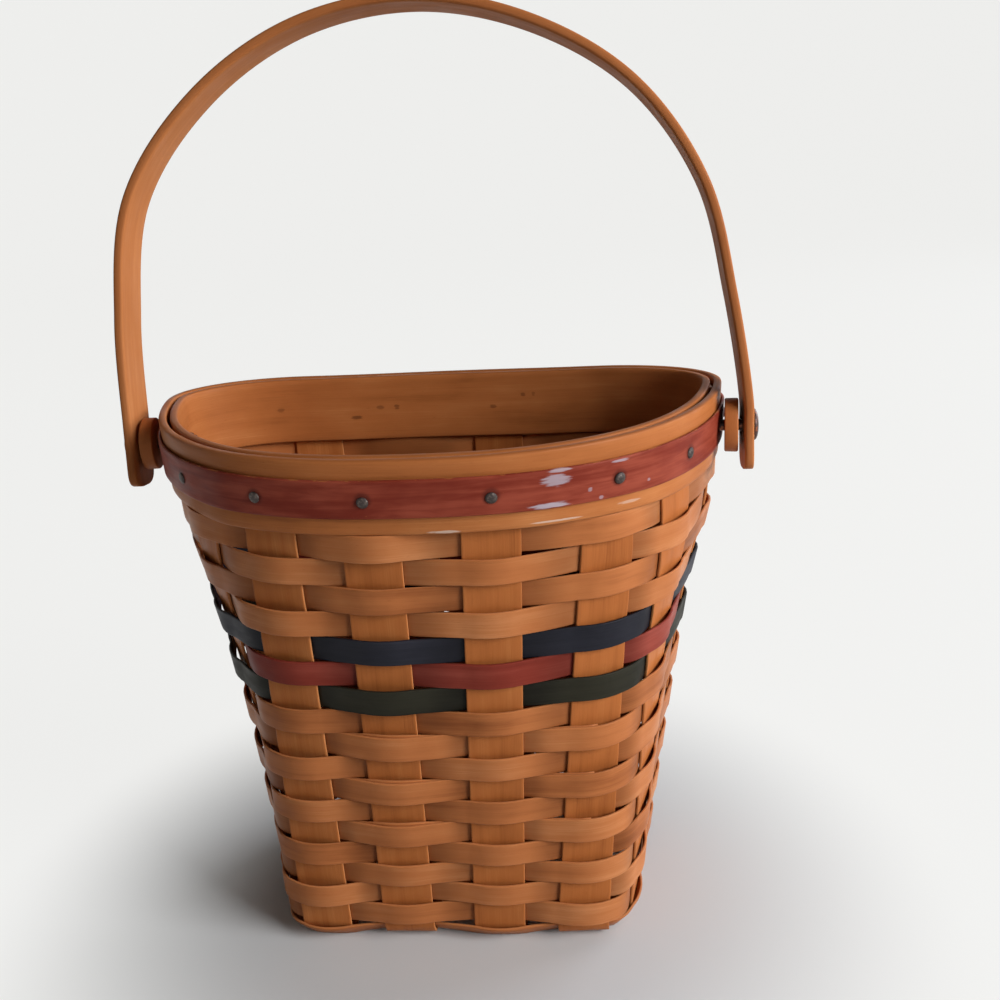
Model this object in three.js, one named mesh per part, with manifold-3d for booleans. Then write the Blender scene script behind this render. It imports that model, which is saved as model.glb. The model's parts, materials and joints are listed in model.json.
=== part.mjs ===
// Half-round wall basket woven from flat maple splints, with a steam-bent swing handle.
//
// Twelve uprights carry eighteen separate rings of weaver, and are the ends of six long splints:
// four run front to back under the base and two run side to side. Their top ends stand between an
// inner and an outer rim band. A painted strip covers the outer band, held by one tack an upright.
// The handle turns on two rivets, each with a wooden spacer outside the rim and a washer inside.
//
// Millimetres, Z up, front towards -Y, flat back towards +Y. Z = 0 is the underside of the base.
import * as THREE from 'three';
import { mergeVertices } from 'three/addons/utils/BufferGeometryUtils.js';
import Module from 'manifold-3d';

// Clearance between pieces that touch, and between a hole and what goes through it, and how far a
// cutter runs on past what it cuts.
const gap = 0.3;
const cutterReach = 8;

// Plan of the upright layer at the rim: half width, depth from the flat back to the front, how far
// in front of the back it is widest, how far the rounded back corner runs in, how square the front
// curve is (2 is an ellipse), and by what share the front is narrower than the back. The same six
// for the foot of the wall, whose front corners are nearly square.
const rimPlan = { half: 104, depth: 113.7, widest: 28.4, corner: 47, square: 2.41, narrowing: 0.154 };
const footPlan = { half: 78.2, depth: 86.7, widest: 36.5, corner: 25, square: 12, narrowing: 0.179 };

// The left and right sides swell out below the rim: how far, at what share of the height from foot
// to rim it is most, and how far it fades from there. It runs out over the height of the bands.
const wallSwell = 3.8;
const swellAt = 0.78;
const swellReach = 0.135;

// Flat splints and weavers.
const splintWidth = 19;
const splintThick = 1.0;
const weaverHeight = 9.4;
const weaverThick = 0.9;
const rowCount = 17;
const rowGap = 0.3;
const bendRadius = 7.5;
const bendAngles = [0, 8, 35, 62, 90];
const crossingMargin = 1.9;

// Where the uprights stand, as shares of the way from the middle of the front (0) to the middle of
// the back (1). Minus is to the left. Numbered 1 to 12 from the left front corner to the right.
const rimShare = [-0.32, -0.184, -0.049, 0.099, 0.255, 0.376, 0.57, 0.79, 0.927, -0.927, -0.79, -0.57];
const footShare = [-0.44, -0.232, -0.082, 0.08, 0.228, 0.39, 0.6, 0.772, 0.92, -0.92, -0.772, -0.62];

// Rim bands, painted strip and tacks.
const bandHeight = 25.4;
const bandThick = 2.6;
const stripHeight = 13;
const stripThick = 1.2;
const splintDrop = 1.0;
const tackHeadRadius = 1.9;
const tackHeadHeight = 0.9;
const tackShankRadius = 0.6;

// Handle, spacers, rivets and washers.
const pivotForward = 44;
const handleWidth = 19;
const handleThick = 3.2;
const handleRise = 145.6;
const handleLegRise = 8;
const handleTail = 15.5;
const handleTailCorner = 7;
const handleLean = 8;
const spacerRadius = 9.5;
const spacerThick = 4.8;
const spacerTurn = 6;
const rivetHeadRadius = 5.7;
const rivetHeadHeight = 2.2;
const rivetShankRadius = 2.0;
const rivetTailRadius = 2.6;
const rivetTailLength = 1.5;
const washerRadius = 3.6;
const washerThick = 1.0;

// How the handle is bent between its straight legs, from the right by the crown to the left: its
// inner face as shares of the half width between the legs, and of the rise above the pivots.
const handleBend = [
  [0.952, 0.309], [0.867, 0.575], [0.66, 0.798], [0.353, 0.94], [0, 1],
  [-0.363, 0.959], [-0.686, 0.817], [-0.925, 0.593], [-0.993, 0.309],
];

// Heights and layer offsets that follow from the sizes above. Offsets are measured outwards from
// the middle of the upright layer.
const weaveOffset = splintThick / 2 + gap + weaverThick / 2;
const baseOffset = (splintThick + gap) / 2;
const baseLevel = baseOffset + splintThick / 2;
const footHeight = baseLevel + bendRadius;
const rowBottom = footHeight + rowGap / 2;
const bandBottom = rowBottom + rowCount * (weaverHeight + rowGap);
const rimHeight = bandBottom + bandHeight;
const bandInner = splintThick / 2 + gap;
const bandOuter = bandInner + bandThick;
const stripInner = bandOuter + gap;
const stripOuter = stripInner + stripThick;
const bandMiddle = rimHeight - bandHeight / 2;
const stripBottom = bandMiddle - stripHeight / 2;
const stripTop = bandMiddle + stripHeight / 2;

const wasm = await Module();
wasm.setup();

const model = new THREE.Group();
const finishes = {
  splint: new THREE.MeshStandardMaterial({ color: 0xa96e45, roughness: 0.42, metalness: 0 }),
  weaver: new THREE.MeshStandardMaterial({ color: 0xb0754a, roughness: 0.4, metalness: 0 }),
  blue: new THREE.MeshStandardMaterial({ color: 0x2a2e40, roughness: 0.45, metalness: 0 }),
  red: new THREE.MeshStandardMaterial({ color: 0x7c3228, roughness: 0.42, metalness: 0 }),
  green: new THREE.MeshStandardMaterial({ color: 0x2c3528, roughness: 0.45, metalness: 0 }),
  band: new THREE.MeshStandardMaterial({ color: 0xa5683f, roughness: 0.4, metalness: 0 }),
  tack: new THREE.MeshStandardMaterial({ color: 0x6d675f, roughness: 0.45, metalness: 0.9 }),
  handle: new THREE.MeshStandardMaterial({ color: 0xb87a4c, roughness: 0.4, metalness: 0 }),
  spacer: new THREE.MeshStandardMaterial({ color: 0xa9693d, roughness: 0.45, metalness: 0 }),
  copper: new THREE.MeshStandardMaterial({ color: 0x6e4632, roughness: 0.4, metalness: 0.9 }),
};

function add(name, geometry, finish) {
  const mesh = new THREE.Mesh(geometry, finishes[finish].clone());
  mesh.name = name;
  model.add(mesh);
  return mesh;
}

function enclosedVolume(positions, index) {
  const [a, b, c] = [new THREE.Vector3(), new THREE.Vector3(), new THREE.Vector3()];
  let sum = 0;
  for (let i = 0; i < index.length; i += 3) {
    a.fromArray(positions, index[i] * 3);
    b.fromArray(positions, index[i + 1] * 3);
    c.fromArray(positions, index[i + 2] * 3);
    sum += a.dot(b.clone().cross(c)) / 6;
  }
  return sum;
}

// A skin over a row of sections that all have as many points: closed into a ring, or with two caps.
function loft(sections, closed) {
  const n = sections[0].length;
  const positions = sections.flat().flatMap((p) => [p.x, p.y, p.z]);
  const index = [];
  const steps = closed ? sections.length : sections.length - 1;
  for (let i = 0; i < steps; i += 1) {
    const here = i * n;
    const next = ((i + 1) % sections.length) * n;
    for (let k = 0; k < n; k += 1) {
      const k1 = (k + 1) % n;
      index.push(here + k, next + k, next + k1, here + k, next + k1, here + k1);
    }
  }
  if (!closed) {
    const last = (sections.length - 1) * n;
    for (let k = 1; k < n - 1; k += 1) {
      index.push(0, k, k + 1, last, last + k + 1, last + k);
    }
  }
  if (enclosedVolume(positions, index) < 0) {
    for (let i = 0; i < index.length; i += 3) [index[i], index[i + 1]] = [index[i + 1], index[i]];
  }
  const geometry = new THREE.BufferGeometry();
  geometry.setAttribute('position', new THREE.Float32BufferAttribute(positions, 3));
  geometry.setIndex(index);
  return geometry;
}

function toSolid(geometry) {
  const bare = geometry.clone();
  for (const name of Object.keys(bare.attributes)) {
    if (name !== 'position') bare.deleteAttribute(name);
  }
  const merged = mergeVertices(bare, 1e-4);
  return new wasm.Manifold(new wasm.Mesh({
    numProp: 3,
    vertProperties: new Float32Array(merged.attributes.position.array),
    triVerts: new Uint32Array(merged.index.array),
  }));
}

function toGeometry(solid) {
  const mesh = solid.getMesh();
  const geometry = new THREE.BufferGeometry();
  geometry.setAttribute('position', new THREE.Float32BufferAttribute(mesh.vertProperties, 3));
  geometry.setIndex(Array.from(mesh.triVerts));
  return geometry;
}

function cut(geometry, cutters) {
  return toGeometry(cutters.reduce((solid, cutter) => solid.subtract(toSolid(cutter)), toSolid(geometry)));
}

// A round piece about an axis: the profile is radius against distance along the axis.
function turned(profile, origin, axis, sides) {
  const geometry = new THREE.LatheGeometry(profile.map(([r, d]) => new THREE.Vector2(r, d)), sides);
  const turn = new THREE.Quaternion().setFromUnitVectors(new THREE.Vector3(0, 1, 0), axis);
  return geometry.applyQuaternion(turn).translate(origin.x, origin.y, origin.z);
}

function rod(radius, from, to, origin, axis, sides) {
  return turned([[0, from], [radius, from], [radius, to], [0, to]], origin, axis, sides);
}

// The closed plan curve, from the middle of the front round by the right: a squared ellipse in
// front, a rounded corner, and the flat back, narrowed towards the front.
function planCurve({ half, depth, widest, corner, square, narrowing }) {
  const [frontSteps, cornerSteps, backSteps] = [36, 12, 6];
  const side = [];
  for (let i = 0; i < frontSteps; i += 1) {
    const a = (i / frontSteps) * Math.PI / 2;
    const [across, ahead] = [Math.sin(a), Math.cos(a)].map((share) => share ** (2 / square));
    side.push([half * across, -widest - (depth - widest) * ahead]);
  }
  for (let i = 0; i <= cornerSteps; i += 1) {
    const a = (i / cornerSteps) * Math.PI / 2;
    side.push([half - corner + corner * Math.cos(a), -widest + widest * Math.sin(a)]);
  }
  for (let i = 1; i <= backSteps; i += 1) side.push([(half - corner) * (1 - i / backSteps), 0]);
  const mirrored = side.slice(1, -1).reverse().map(([x, y]) => [-x, y]);
  const points = [...side, ...mirrored].map(([x, y]) => (
    new THREE.Vector3(x * (1 + (narrowing * y) / depth), y, 0)));
  const curve = new THREE.CatmullRomCurve3(points, true, 'centripetal');
  curve.arcLengthDivisions = 2000;
  return curve;
}

// Stations round a plan curve: three across each upright (edge, middle, edge), then one in the
// space that follows it, or three where that space goes round a corner.
const cornerSpaces = [1, 5, 7, 11];
function stationsOf(plan, shares) {
  const curve = planCurve(plan);
  const length = curve.getLength();
  const halfTurn = splintWidth / 2 / length;
  const order = shares.map((s, i) => ({ number: i + 1, u: ((s / 2) % 1 + 1) % 1 }))
    .sort((a, b) => a.u - b.u);
  const stations = [];
  order.forEach(({ number, u }, i) => {
    const next = order[(i + 1) % order.length];
    const span = ((next.u - u + 1) % 1) - 2 * halfTurn;
    const between = cornerSpaces.includes(number) ? 3 : 1;
    const put = (at, share) => {
      const v = ((at % 1) + 1) % 1;
      const p = curve.getPointAt(v);
      const t = curve.getTangentAt(v);
      const normal = new THREE.Vector3(t.y, -t.x, 0).normalize();
      stations.push({ point: p, normal, number, share, next: next.number });
    };
    for (const k of [-1, 0, 1]) put(u + k * halfTurn, 0);
    for (let k = 1; k <= between; k += 1) put(u + halfTurn + span * (k / (between + 1)), k / (between + 1));
  });
  return stations;
}

const rimStations = stationsOf(rimPlan, rimShare);
const footStations = stationsOf(footPlan, footShare);
const stationCount = rimStations.length;

function swellAtHeight(z) {
  const t = (Math.min(z, bandBottom) - footHeight) / (rimHeight - footHeight);
  const left = Math.min(1, (rimHeight - z) / bandHeight);
  return wallSwell * left * Math.exp(-(((t - swellAt) / swellReach) ** 2));
}

// A point on the wall at a station and a height, moved outwards from the middle of the uprights.
function wallPoint(j, z, offset) {
  const k = (j + stationCount) % stationCount;
  const t = (z - footHeight) / (rimHeight - footHeight);
  const normal = footStations[k].normal.clone().lerp(rimStations[k].normal, t).normalize();
  const point = footStations[k].point.clone().lerp(rimStations[k].point, t);
  return point.addScaledVector(normal, offset + swellAtHeight(z) * normal.x ** 2).setZ(z);
}

function middleStation(number) {
  return rimStations.findIndex((s) => s.number === number) + 1;
}

// A flat ring round the wall between two heights and two offsets.
function wallRing(low, high, inner, outer) {
  const sections = rimStations.map((_, j) => [
    wallPoint(j, low, outer(j)), wallPoint(j, high, outer(j)),
    wallPoint(j, high, inner(j)), wallPoint(j, low, inner(j)),
  ]);
  return loft(sections, true);
}

// Which side of the uprights a row runs on at a station: 1 outside, -1 inside, and between them in
// the spaces. Odd rows pass outside the odd uprights.
function weaveSide(j, row) {
  const { number, share, next } = rimStations[j];
  const side = (n) => ((n + row) % 2 === 0 ? 1 : -1);
  return side(number) * (1 - share) + side(next) * share;
}

// The bend where an upright turns under the base, for one plan point and a direction inwards.
function bendPoint(foot, inward, degrees) {
  const a = THREE.MathUtils.degToRad(degrees);
  return foot.clone().addScaledVector(inward, bendRadius * (1 - Math.cos(a)))
    .setZ(footHeight - bendRadius * Math.sin(a));
}

// Long splints: up one wall, under the base, up the other wall.
const frontBack = [[2, 11], [3, 10], [4, 9], [5, 8]];
const sideSide = [[1, 6], [12, 7]];

function footOf(number, k) {
  return wallPoint(middleStation(number) + k, footHeight, 0);
}

function runBetween([from, to], along) {
  const lines = [-1, 0, 1].map((k) => {
    const start = footOf(from, k);
    const end = footOf(to, -k);
    return { start, end, inward: end.clone().sub(start).setZ(0).normalize() };
  });
  return { from, to, along, lines };
}

function crossingOf(run, other) {
  const { start, end } = run.lines[1];
  const far = other.lines[1];
  const cross = (a, b) => a.x * b.y - a.y * b.x;
  const d = end.clone().sub(start);
  const e = far.end.clone().sub(far.start);
  const t = cross(far.start.clone().sub(start), e) / cross(d, e);
  return start.clone().addScaledVector(d, t)[run.along];
}

function atCoordinate({ start, end }, along, value, z) {
  const t = (value - start[along]) / (end[along] - start[along]);
  return start.clone().lerp(end, t).setZ(z);
}

const longRuns = frontBack.map((pair) => runBetween(pair, 'y'));
const crossRuns = sideSide.map((pair) => runBetween(pair, 'x'));

// Path of the three lines (edge, middle, edge) of a splint, with the way its outside faces.
function splintPath(run, others, level) {
  const { from, to, along, lines } = run;
  const path = [];
  const width = (points) => points[2].clone().sub(points[0]).normalize();
  const wallStop = (number, flip, z) => {
    const j = middleStation(number);
    const ks = [-1, 0, 1].map((k) => k * flip);
    const out = ks.map((k) => wallPoint(j + k, z, 1).sub(wallPoint(j + k, z, 0)));
    return { points: ks.map((k) => wallPoint(j + k, z, 0)), out };
  };
  const bendStop = (reverse, degrees) => {
    const points = lines.map(({ start, end, inward }) => (
      reverse ? bendPoint(end, inward.clone().negate(), degrees) : bendPoint(start, inward, degrees)));
    const a = THREE.MathUtils.degToRad(degrees);
    const turn = reverse ? -1 : 1;
    const heading = lines[1].inward.clone().multiplyScalar(turn * Math.sin(a)).setZ(-Math.cos(a));
    const out = heading.cross(width(points)).normalize();
    if (-out.z - turn * out.dot(lines[1].inward) < 0) out.negate();
    return { points, out: [out, out, out] };
  };
  const down = new THREE.Vector3(0, 0, -1);
  const seams = Array.from({ length: rowCount }, (_, i) => rowBottom + i * (weaverHeight + rowGap));
  const heights = [footHeight, ...seams.slice(1), bandBottom, rimHeight - splintDrop];
  [...heights].reverse().forEach((z) => path.push(wallStop(from, 1, z)));
  bendAngles.slice(1).forEach((degrees) => path.push(bendStop(false, degrees)));
  const heading = Math.sign(lines[1].end[along] - lines[1].start[along]);
  others.map((other, i) => ({ at: crossingOf(run, other), up: level(i) }))
    .sort((a, b) => heading * (a.at - b.at))
    .forEach(({ at, up }) => {
      for (const side of [-1, 1]) {
        const value = at + heading * side * (splintWidth / 2 + crossingMargin);
        const points = lines.map((line) => atCoordinate(line, along, value, baseLevel + up * baseOffset));
        path.push({ points, out: [down, down, down] });
      }
    });
  bendAngles.slice(1).reverse().forEach((degrees) => path.push(bendStop(true, degrees)));
  heights.forEach((z) => path.push(wallStop(to, -1, z)));
  return path;
}

function splintSolid(path) {
  const half = splintThick / 2;
  return loft(path.map(({ points, out }) => [
    ...points.map((p, k) => p.clone().addScaledVector(out[k], half)),
    ...points.map((p, k) => p.clone().addScaledVector(out[k], -half)).reverse(),
  ]), false);
}

longRuns.forEach((run, i) => {
  const path = splintPath(run, crossRuns, (k) => ((i + k) % 2 === 0 ? -1 : 1));
  add(`splint_front_back_${i + 1}`, splintSolid(path), 'splint');
});
crossRuns.forEach((run, k) => {
  const path = splintPath(run, longRuns, (i) => ((i + k) % 2 === 0 ? 1 : -1));
  add(['splint_side_front', 'splint_side_rear'][k], splintSolid(path), 'splint');
});

// Weaver rows, numbered from the rim down. Three rows are dyed.
const dyedRows = { 5: 'blue', 6: 'red', 7: 'green' };
for (let row = 1; row <= rowCount; row += 1) {
  const low = rowBottom + (rowCount - row) * (weaverHeight + rowGap);
  const middle = (j) => weaveSide(j, row) * weaveOffset;
  const face = (side) => (j) => middle(j) + side * (weaverThick / 2);
  const ring = wallRing(low, low + weaverHeight, face(-1), face(1));
  add(`weaver_${String(row).padStart(2, '0')}`, ring, dyedRows[row] ?? 'weaver');
}

// The last row is turned under with the uprights, round the bend.
function foldedRow(row) {
  const runOf = (number) => [...longRuns, ...crossRuns].find((r) => r.from === number || r.to === number);
  const inwardAt = (number) => {
    const run = runOf(number);
    return run.lines[1].inward.clone().multiplyScalar(run.from === number ? 1 : -1);
  };
  const chordAt = (number) => footOf(number, 1).sub(footOf(number, -1)).normalize();
  const sections = rimStations.map(({ number, share, next }, j) => {
    const inward = inwardAt(number).lerp(inwardAt(next), share).normalize();
    const chord = chordAt(number).lerp(chordAt(next), share).normalize();
    const rows = bendAngles.slice(1, -1).map((degrees) => {
      const a = THREE.MathUtils.degToRad(degrees);
      const point = bendPoint(wallPoint(j, footHeight, 0), inward, degrees);
      const heading = inward.clone().multiplyScalar(Math.sin(a)).setZ(-Math.cos(a));
      const out = heading.cross(chord).normalize();
      if (out.dot(inward) - Math.sin(a) > 0 || out.z > 0) out.negate();
      return { point, out };
    });
    const middle = weaveSide(j, row) * weaveOffset;
    const face = (offset) => rows.map(({ point, out }) => point.clone().addScaledVector(out, offset));
    return [...face(middle + weaverThick / 2), ...face(middle - weaverThick / 2).reverse()];
  });
  return loft(sections, true);
}
add(`weaver_${rowCount + 1}`, foldedRow(rowCount + 1), 'weaver');

// Rim: two bands, the painted strip, and the holes through them.
const pivotHeight = bandMiddle;

// How far to one side (1 right, -1 left) the faceted wall stands at a given Y and height.
function sideReach(side, y, z, offset) {
  let reach = 0;
  for (let j = 0; j < stationCount; j += 1) {
    const a = wallPoint(j, z, offset);
    const b = wallPoint(j + 1, z, offset);
    if (side * a.x > 0 && side * b.x > 0 && (a.y - y) * (b.y - y) <= 0 && a.y !== b.y) {
      reach = Math.max(reach, side * (a.x + (b.x - a.x) * ((y - a.y) / (b.y - a.y))));
    }
  }
  return reach;
}

// The least that the wall reaches on either side over a square about the pivot.
function leastReach(radius, offset) {
  const corners = [[-1, -1], [-1, 1], [1, -1], [1, 1]];
  return Math.min(...[1, -1].flatMap((side) => corners.map(([a, b]) => (
    sideReach(side, -pivotForward + a * radius, pivotHeight + b * radius, offset)))));
}

// How far out the middle of a spacer stands, where its turned inner face just clears the strip.
const spacerAngle = THREE.MathUtils.degToRad(spacerTurn);
function spacerReach() {
  const [along, aside] = [Math.cos(spacerAngle), Math.sin(spacerAngle)];
  const needs = Array.from({ length: 24 }, (_, i) => {
    const a = (i / 24) * 2 * Math.PI;
    const y = -pivotForward + spacerRadius * Math.cos(a) * along + (spacerThick / 2) * aside;
    const z = pivotHeight + spacerRadius * Math.sin(a);
    const inner = (spacerThick / 2) * along - spacerRadius * Math.cos(a) * aside;
    return Math.max(...[1, -1].map((side) => sideReach(side, y, z, stripOuter))) + gap + inner;
  });
  return Math.max(...needs);
}

const tackPlaces = rimShare.map((_, i) => {
  const j = middleStation(i + 1);
  const along = wallPoint(j, stripTop, stripOuter).sub(wallPoint(j, stripBottom, stripOuter)).normalize();
  const round = wallPoint(j + 1, bandMiddle, 0).sub(wallPoint(j - 1, bandMiddle, 0)).normalize();
  return { origin: wallPoint(j, bandMiddle, 0), axis: round.cross(along).normalize() };
});
const tackHoles = tackPlaces.map(({ origin, axis }) => (
  rod(tackShankRadius + gap, 0, stripOuter + cutterReach, origin, axis, 6)));

const sides = [1, -1].map((side) => ({
  name: side > 0 ? 'right' : 'left',
  axis: new THREE.Vector3(side, 0, 0),
  origin: new THREE.Vector3(0, -pivotForward, pivotHeight),
}));
const spacerMiddle = spacerReach();
const spacerHalfSpan = (spacerThick / 2) * Math.cos(spacerAngle) + spacerRadius * Math.sin(spacerAngle);
const handleInner = spacerMiddle + spacerHalfSpan + gap;
const handleOuter = handleInner + handleThick;
const rivetHole = (origin, axis) => (
  rod(rivetShankRadius + gap, rimPlan.half / 2, handleOuter + cutterReach, origin, axis, 16));
const rivetHoles = sides.map(({ origin, axis }) => rivetHole(origin, axis));

const plain = (value) => () => value;
const allHoles = [...rivetHoles, ...tackHoles];
const innerBand = wallRing(bandBottom, rimHeight, plain(-bandOuter), plain(-bandInner));
const outerBand = wallRing(bandBottom, rimHeight, plain(bandInner), plain(bandOuter));
const trimStrip = wallRing(stripBottom, stripTop, plain(stripInner), plain(stripOuter));
add('inner_band', cut(innerBand, rivetHoles), 'band');
add('outer_band', cut(outerBand, allHoles), 'band');
add('trim_strip', cut(trimStrip, allHoles), 'red');

const tackSeat = stripOuter + gap;
tackPlaces.forEach(({ origin, axis }, i) => {
  const profile = [
    [0, bandInner + gap], [tackShankRadius, bandInner + gap], [tackShankRadius, tackSeat],
    [tackHeadRadius, tackSeat], [tackHeadRadius * 0.85, tackSeat + tackHeadHeight * 0.6],
    [0, tackSeat + tackHeadHeight],
  ];
  add(`tack_${String(i + 1).padStart(2, '0')}`, turned(profile, origin, axis, 8), 'tack');
});

// Spacers are plain discs between the painted strip and the handle's legs, turned a little with
// the slant of the rim.
sides.forEach(({ name, origin, axis }, i) => {
  const middle = origin.clone().addScaledVector(axis, spacerMiddle);
  const slanted = new THREE.Vector3(axis.x * Math.cos(spacerAngle), -Math.sin(spacerAngle), 0);
  const disc = rod(spacerRadius, -spacerThick / 2, spacerThick / 2, middle, slanted, 32);
  add(`spacer_${name}`, cut(disc, [rivetHoles[i]]), 'spacer');
});

// Rivets and their inside washers stand clear of the curved inner band.
const washerFace = leastReach(washerRadius, -bandOuter) - gap;
const rivetSeat = handleOuter + gap;
const tailEnd = washerFace - washerThick - gap - rivetTailLength;
sides.forEach(({ name, origin, axis }, i) => {
  const dome = [0.95, 0.8, 0.5].map((r) => [
    rivetHeadRadius * r, rivetSeat + rivetHeadHeight * (0.35 + 0.65 * Math.sqrt(1 - r * r)),
  ]);
  const profile = [
    [0, tailEnd], [rivetTailRadius, tailEnd], [rivetTailRadius, tailEnd + rivetTailLength],
    [rivetShankRadius, tailEnd + rivetTailLength], [rivetShankRadius, rivetSeat],
    [rivetHeadRadius, rivetSeat], [rivetHeadRadius, rivetSeat + rivetHeadHeight * 0.35],
    ...dome, [0, rivetSeat + rivetHeadHeight],
  ];
  add(`rivet_${name}`, turned(profile, origin, axis, 20), 'copper');
  const washer = rod(washerRadius, washerFace - washerThick, washerFace, origin, axis, 20);
  add(`washer_${name}`, cut(washer, [rivetHoles[i]]), 'copper');
});

// Handle: one strip bent to an arch with straight legs and square-rounded tails, about its pivot.
function handleSections() {
  const stops = [];
  const half = handleWidth / 2;
  const tailPower = 2 / 3;
  for (const degrees of [13, 35, 57, 75, 90]) {
    const a = THREE.MathUtils.degToRad(degrees);
    const up = handleTailCorner * (1 - Math.max(Math.cos(a), 0) ** tailPower);
    const reach = half * Math.sin(a) ** tailPower;
    stops.push({ x: handleInner, up: up - handleTail, half: reach, nx: 1, nup: 0 });
  }
  const leg = [[1, 0], [1, handleLegRise / handleRise]];
  const mirrored = leg.map(([x, up]) => [-x, up]).reverse();
  const bend = new THREE.CatmullRomCurve3([...leg, ...handleBend, ...mirrored].map(([x, up]) => (
    new THREE.Vector3(x * handleInner, up * handleRise, 0))), false, 'centripetal');
  const steps = 44;
  const arch = Array.from({ length: steps + 1 }, (_, i) => {
    const p = bend.getPointAt(i / steps);
    const t = bend.getTangentAt(i / steps);
    return { x: p.x, up: p.y, half, nx: t.y, nup: -t.x };
  });
  const otherTail = [...stops].reverse().map((stop) => ({ ...stop, x: -stop.x, nx: -1 }));
  return [...stops, ...arch, ...otherTail].map(({ x, up, half: reach, nx, nup }) => {
    const corner = (y, t) => new THREE.Vector3(x + nx * t, y, up + nup * t);
    return [corner(-reach, 0), corner(reach, 0), corner(reach, handleThick), corner(-reach, handleThick)];
  });
}
const pivotPins = sides.map(({ axis }) => rivetHole(new THREE.Vector3(), axis));
const handle = add('handle', cut(loft(handleSections(), false), pivotPins), 'handle');
handle.position.set(0, -pivotForward, pivotHeight);
handle.rotation.x = -THREE.MathUtils.degToRad(handleLean);

// Stand the part over its own origin: middle of its width and depth, underside at Z = 0.
model.updateMatrixWorld(true);
const box = new THREE.Box3().setFromObject(model, true);
model.position.set(-(box.min.x + box.max.x) / 2, -(box.min.y + box.max.y) / 2, 0);

export default model;
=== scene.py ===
"""Looks of a half-round wall basket: woven flat splints, doubled rim bands and a swing handle.

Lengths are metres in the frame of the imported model: Z up, the rounded front towards -Y and the
flat back towards +Y. The basket's wall is one surface between a plan at its foot and a plan at
its rim. Each strip is swept along that surface, or round the base and the handle's arch, and
carries its own unbent coordinates, so that grain runs along it.
"""
from __future__ import annotations

import json
import logging
import math
from dataclasses import dataclass, field, replace
from enum import Enum

import bpy
import numpy as np
from mathutils import Euler, Matrix, Vector


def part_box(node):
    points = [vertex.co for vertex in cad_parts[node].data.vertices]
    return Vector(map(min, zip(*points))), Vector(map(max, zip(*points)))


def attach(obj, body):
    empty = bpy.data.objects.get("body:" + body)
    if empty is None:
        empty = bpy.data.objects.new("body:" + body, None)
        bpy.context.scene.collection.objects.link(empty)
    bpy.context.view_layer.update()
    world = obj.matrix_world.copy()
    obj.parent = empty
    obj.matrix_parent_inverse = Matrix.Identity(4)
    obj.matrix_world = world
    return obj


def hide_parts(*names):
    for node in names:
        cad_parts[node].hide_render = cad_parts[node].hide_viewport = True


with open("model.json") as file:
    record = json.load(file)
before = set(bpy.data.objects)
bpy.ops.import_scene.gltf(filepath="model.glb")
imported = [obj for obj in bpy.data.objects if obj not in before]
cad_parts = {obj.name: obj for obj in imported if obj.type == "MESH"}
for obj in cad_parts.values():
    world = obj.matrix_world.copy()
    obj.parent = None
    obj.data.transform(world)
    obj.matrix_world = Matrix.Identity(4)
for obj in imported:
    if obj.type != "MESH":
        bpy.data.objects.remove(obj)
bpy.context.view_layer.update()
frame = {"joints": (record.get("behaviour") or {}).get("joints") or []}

MM = 0.001
BASKET = "basket"
HANDLE = "swing_handle"
log = logging.getLogger("basket")

Colour = tuple[float, float, float, float]
Piece = bpy.types.Object
Socket = bpy.types.NodeSocket


class Dye(Enum):
    """What a weaver is coloured with."""

    NATURAL = "natural"
    NAVY = "navy"
    RED = "red"
    GREEN = "green"


class Side(Enum):
    """The two ends of the handle."""

    RIGHT = 1
    LEFT = -1


# Curves and the wall surface


@dataclass(frozen=True)
class Plan:
    """A closed plan: squared-ellipse front, rounded back corners and a flat back.

    Attributes:
        half: Half of the width.
        depth: From the flat back to the front.
        widest: How far in front of the back the plan is widest.
        corner: How far a rounded back corner runs in.
        square: How square the front is, where 2 is an ellipse.
        narrowing: By what share the front is narrower than the back.
    """

    half: float
    depth: float
    widest: float
    corner: float
    square: float
    narrowing: float

    FRONT_STEPS = 480
    CORNER_STEPS = 160

    def outline(self) -> np.ndarray:
        """Points round the plan, from the middle of the front round by the right.

        Returns:
            An array of X and Y, not closed.
        """
        a = np.linspace(0, math.pi / 2, self.FRONT_STEPS, endpoint=False)
        power = 2 / self.square
        front = np.column_stack([
            self.half * np.sin(a) ** power,
            -self.widest - (self.depth - self.widest) * np.cos(a) ** power,
        ])
        b = np.linspace(0, math.pi / 2, self.CORNER_STEPS)
        corner = np.column_stack([
            self.half - self.corner + self.corner * np.cos(b),
            -self.widest + self.widest * np.sin(b),
        ])
        back = np.column_stack([
            np.linspace(self.half - self.corner, 0, self.CORNER_STEPS),
            np.zeros(self.CORNER_STEPS),
        ])[1:]
        side = np.vstack([front, corner, back])
        side[:, 0] *= 1 + self.narrowing * side[:, 1] / self.depth
        return np.vstack([side, side[-2:0:-1] * [-1, 1]])


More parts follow.
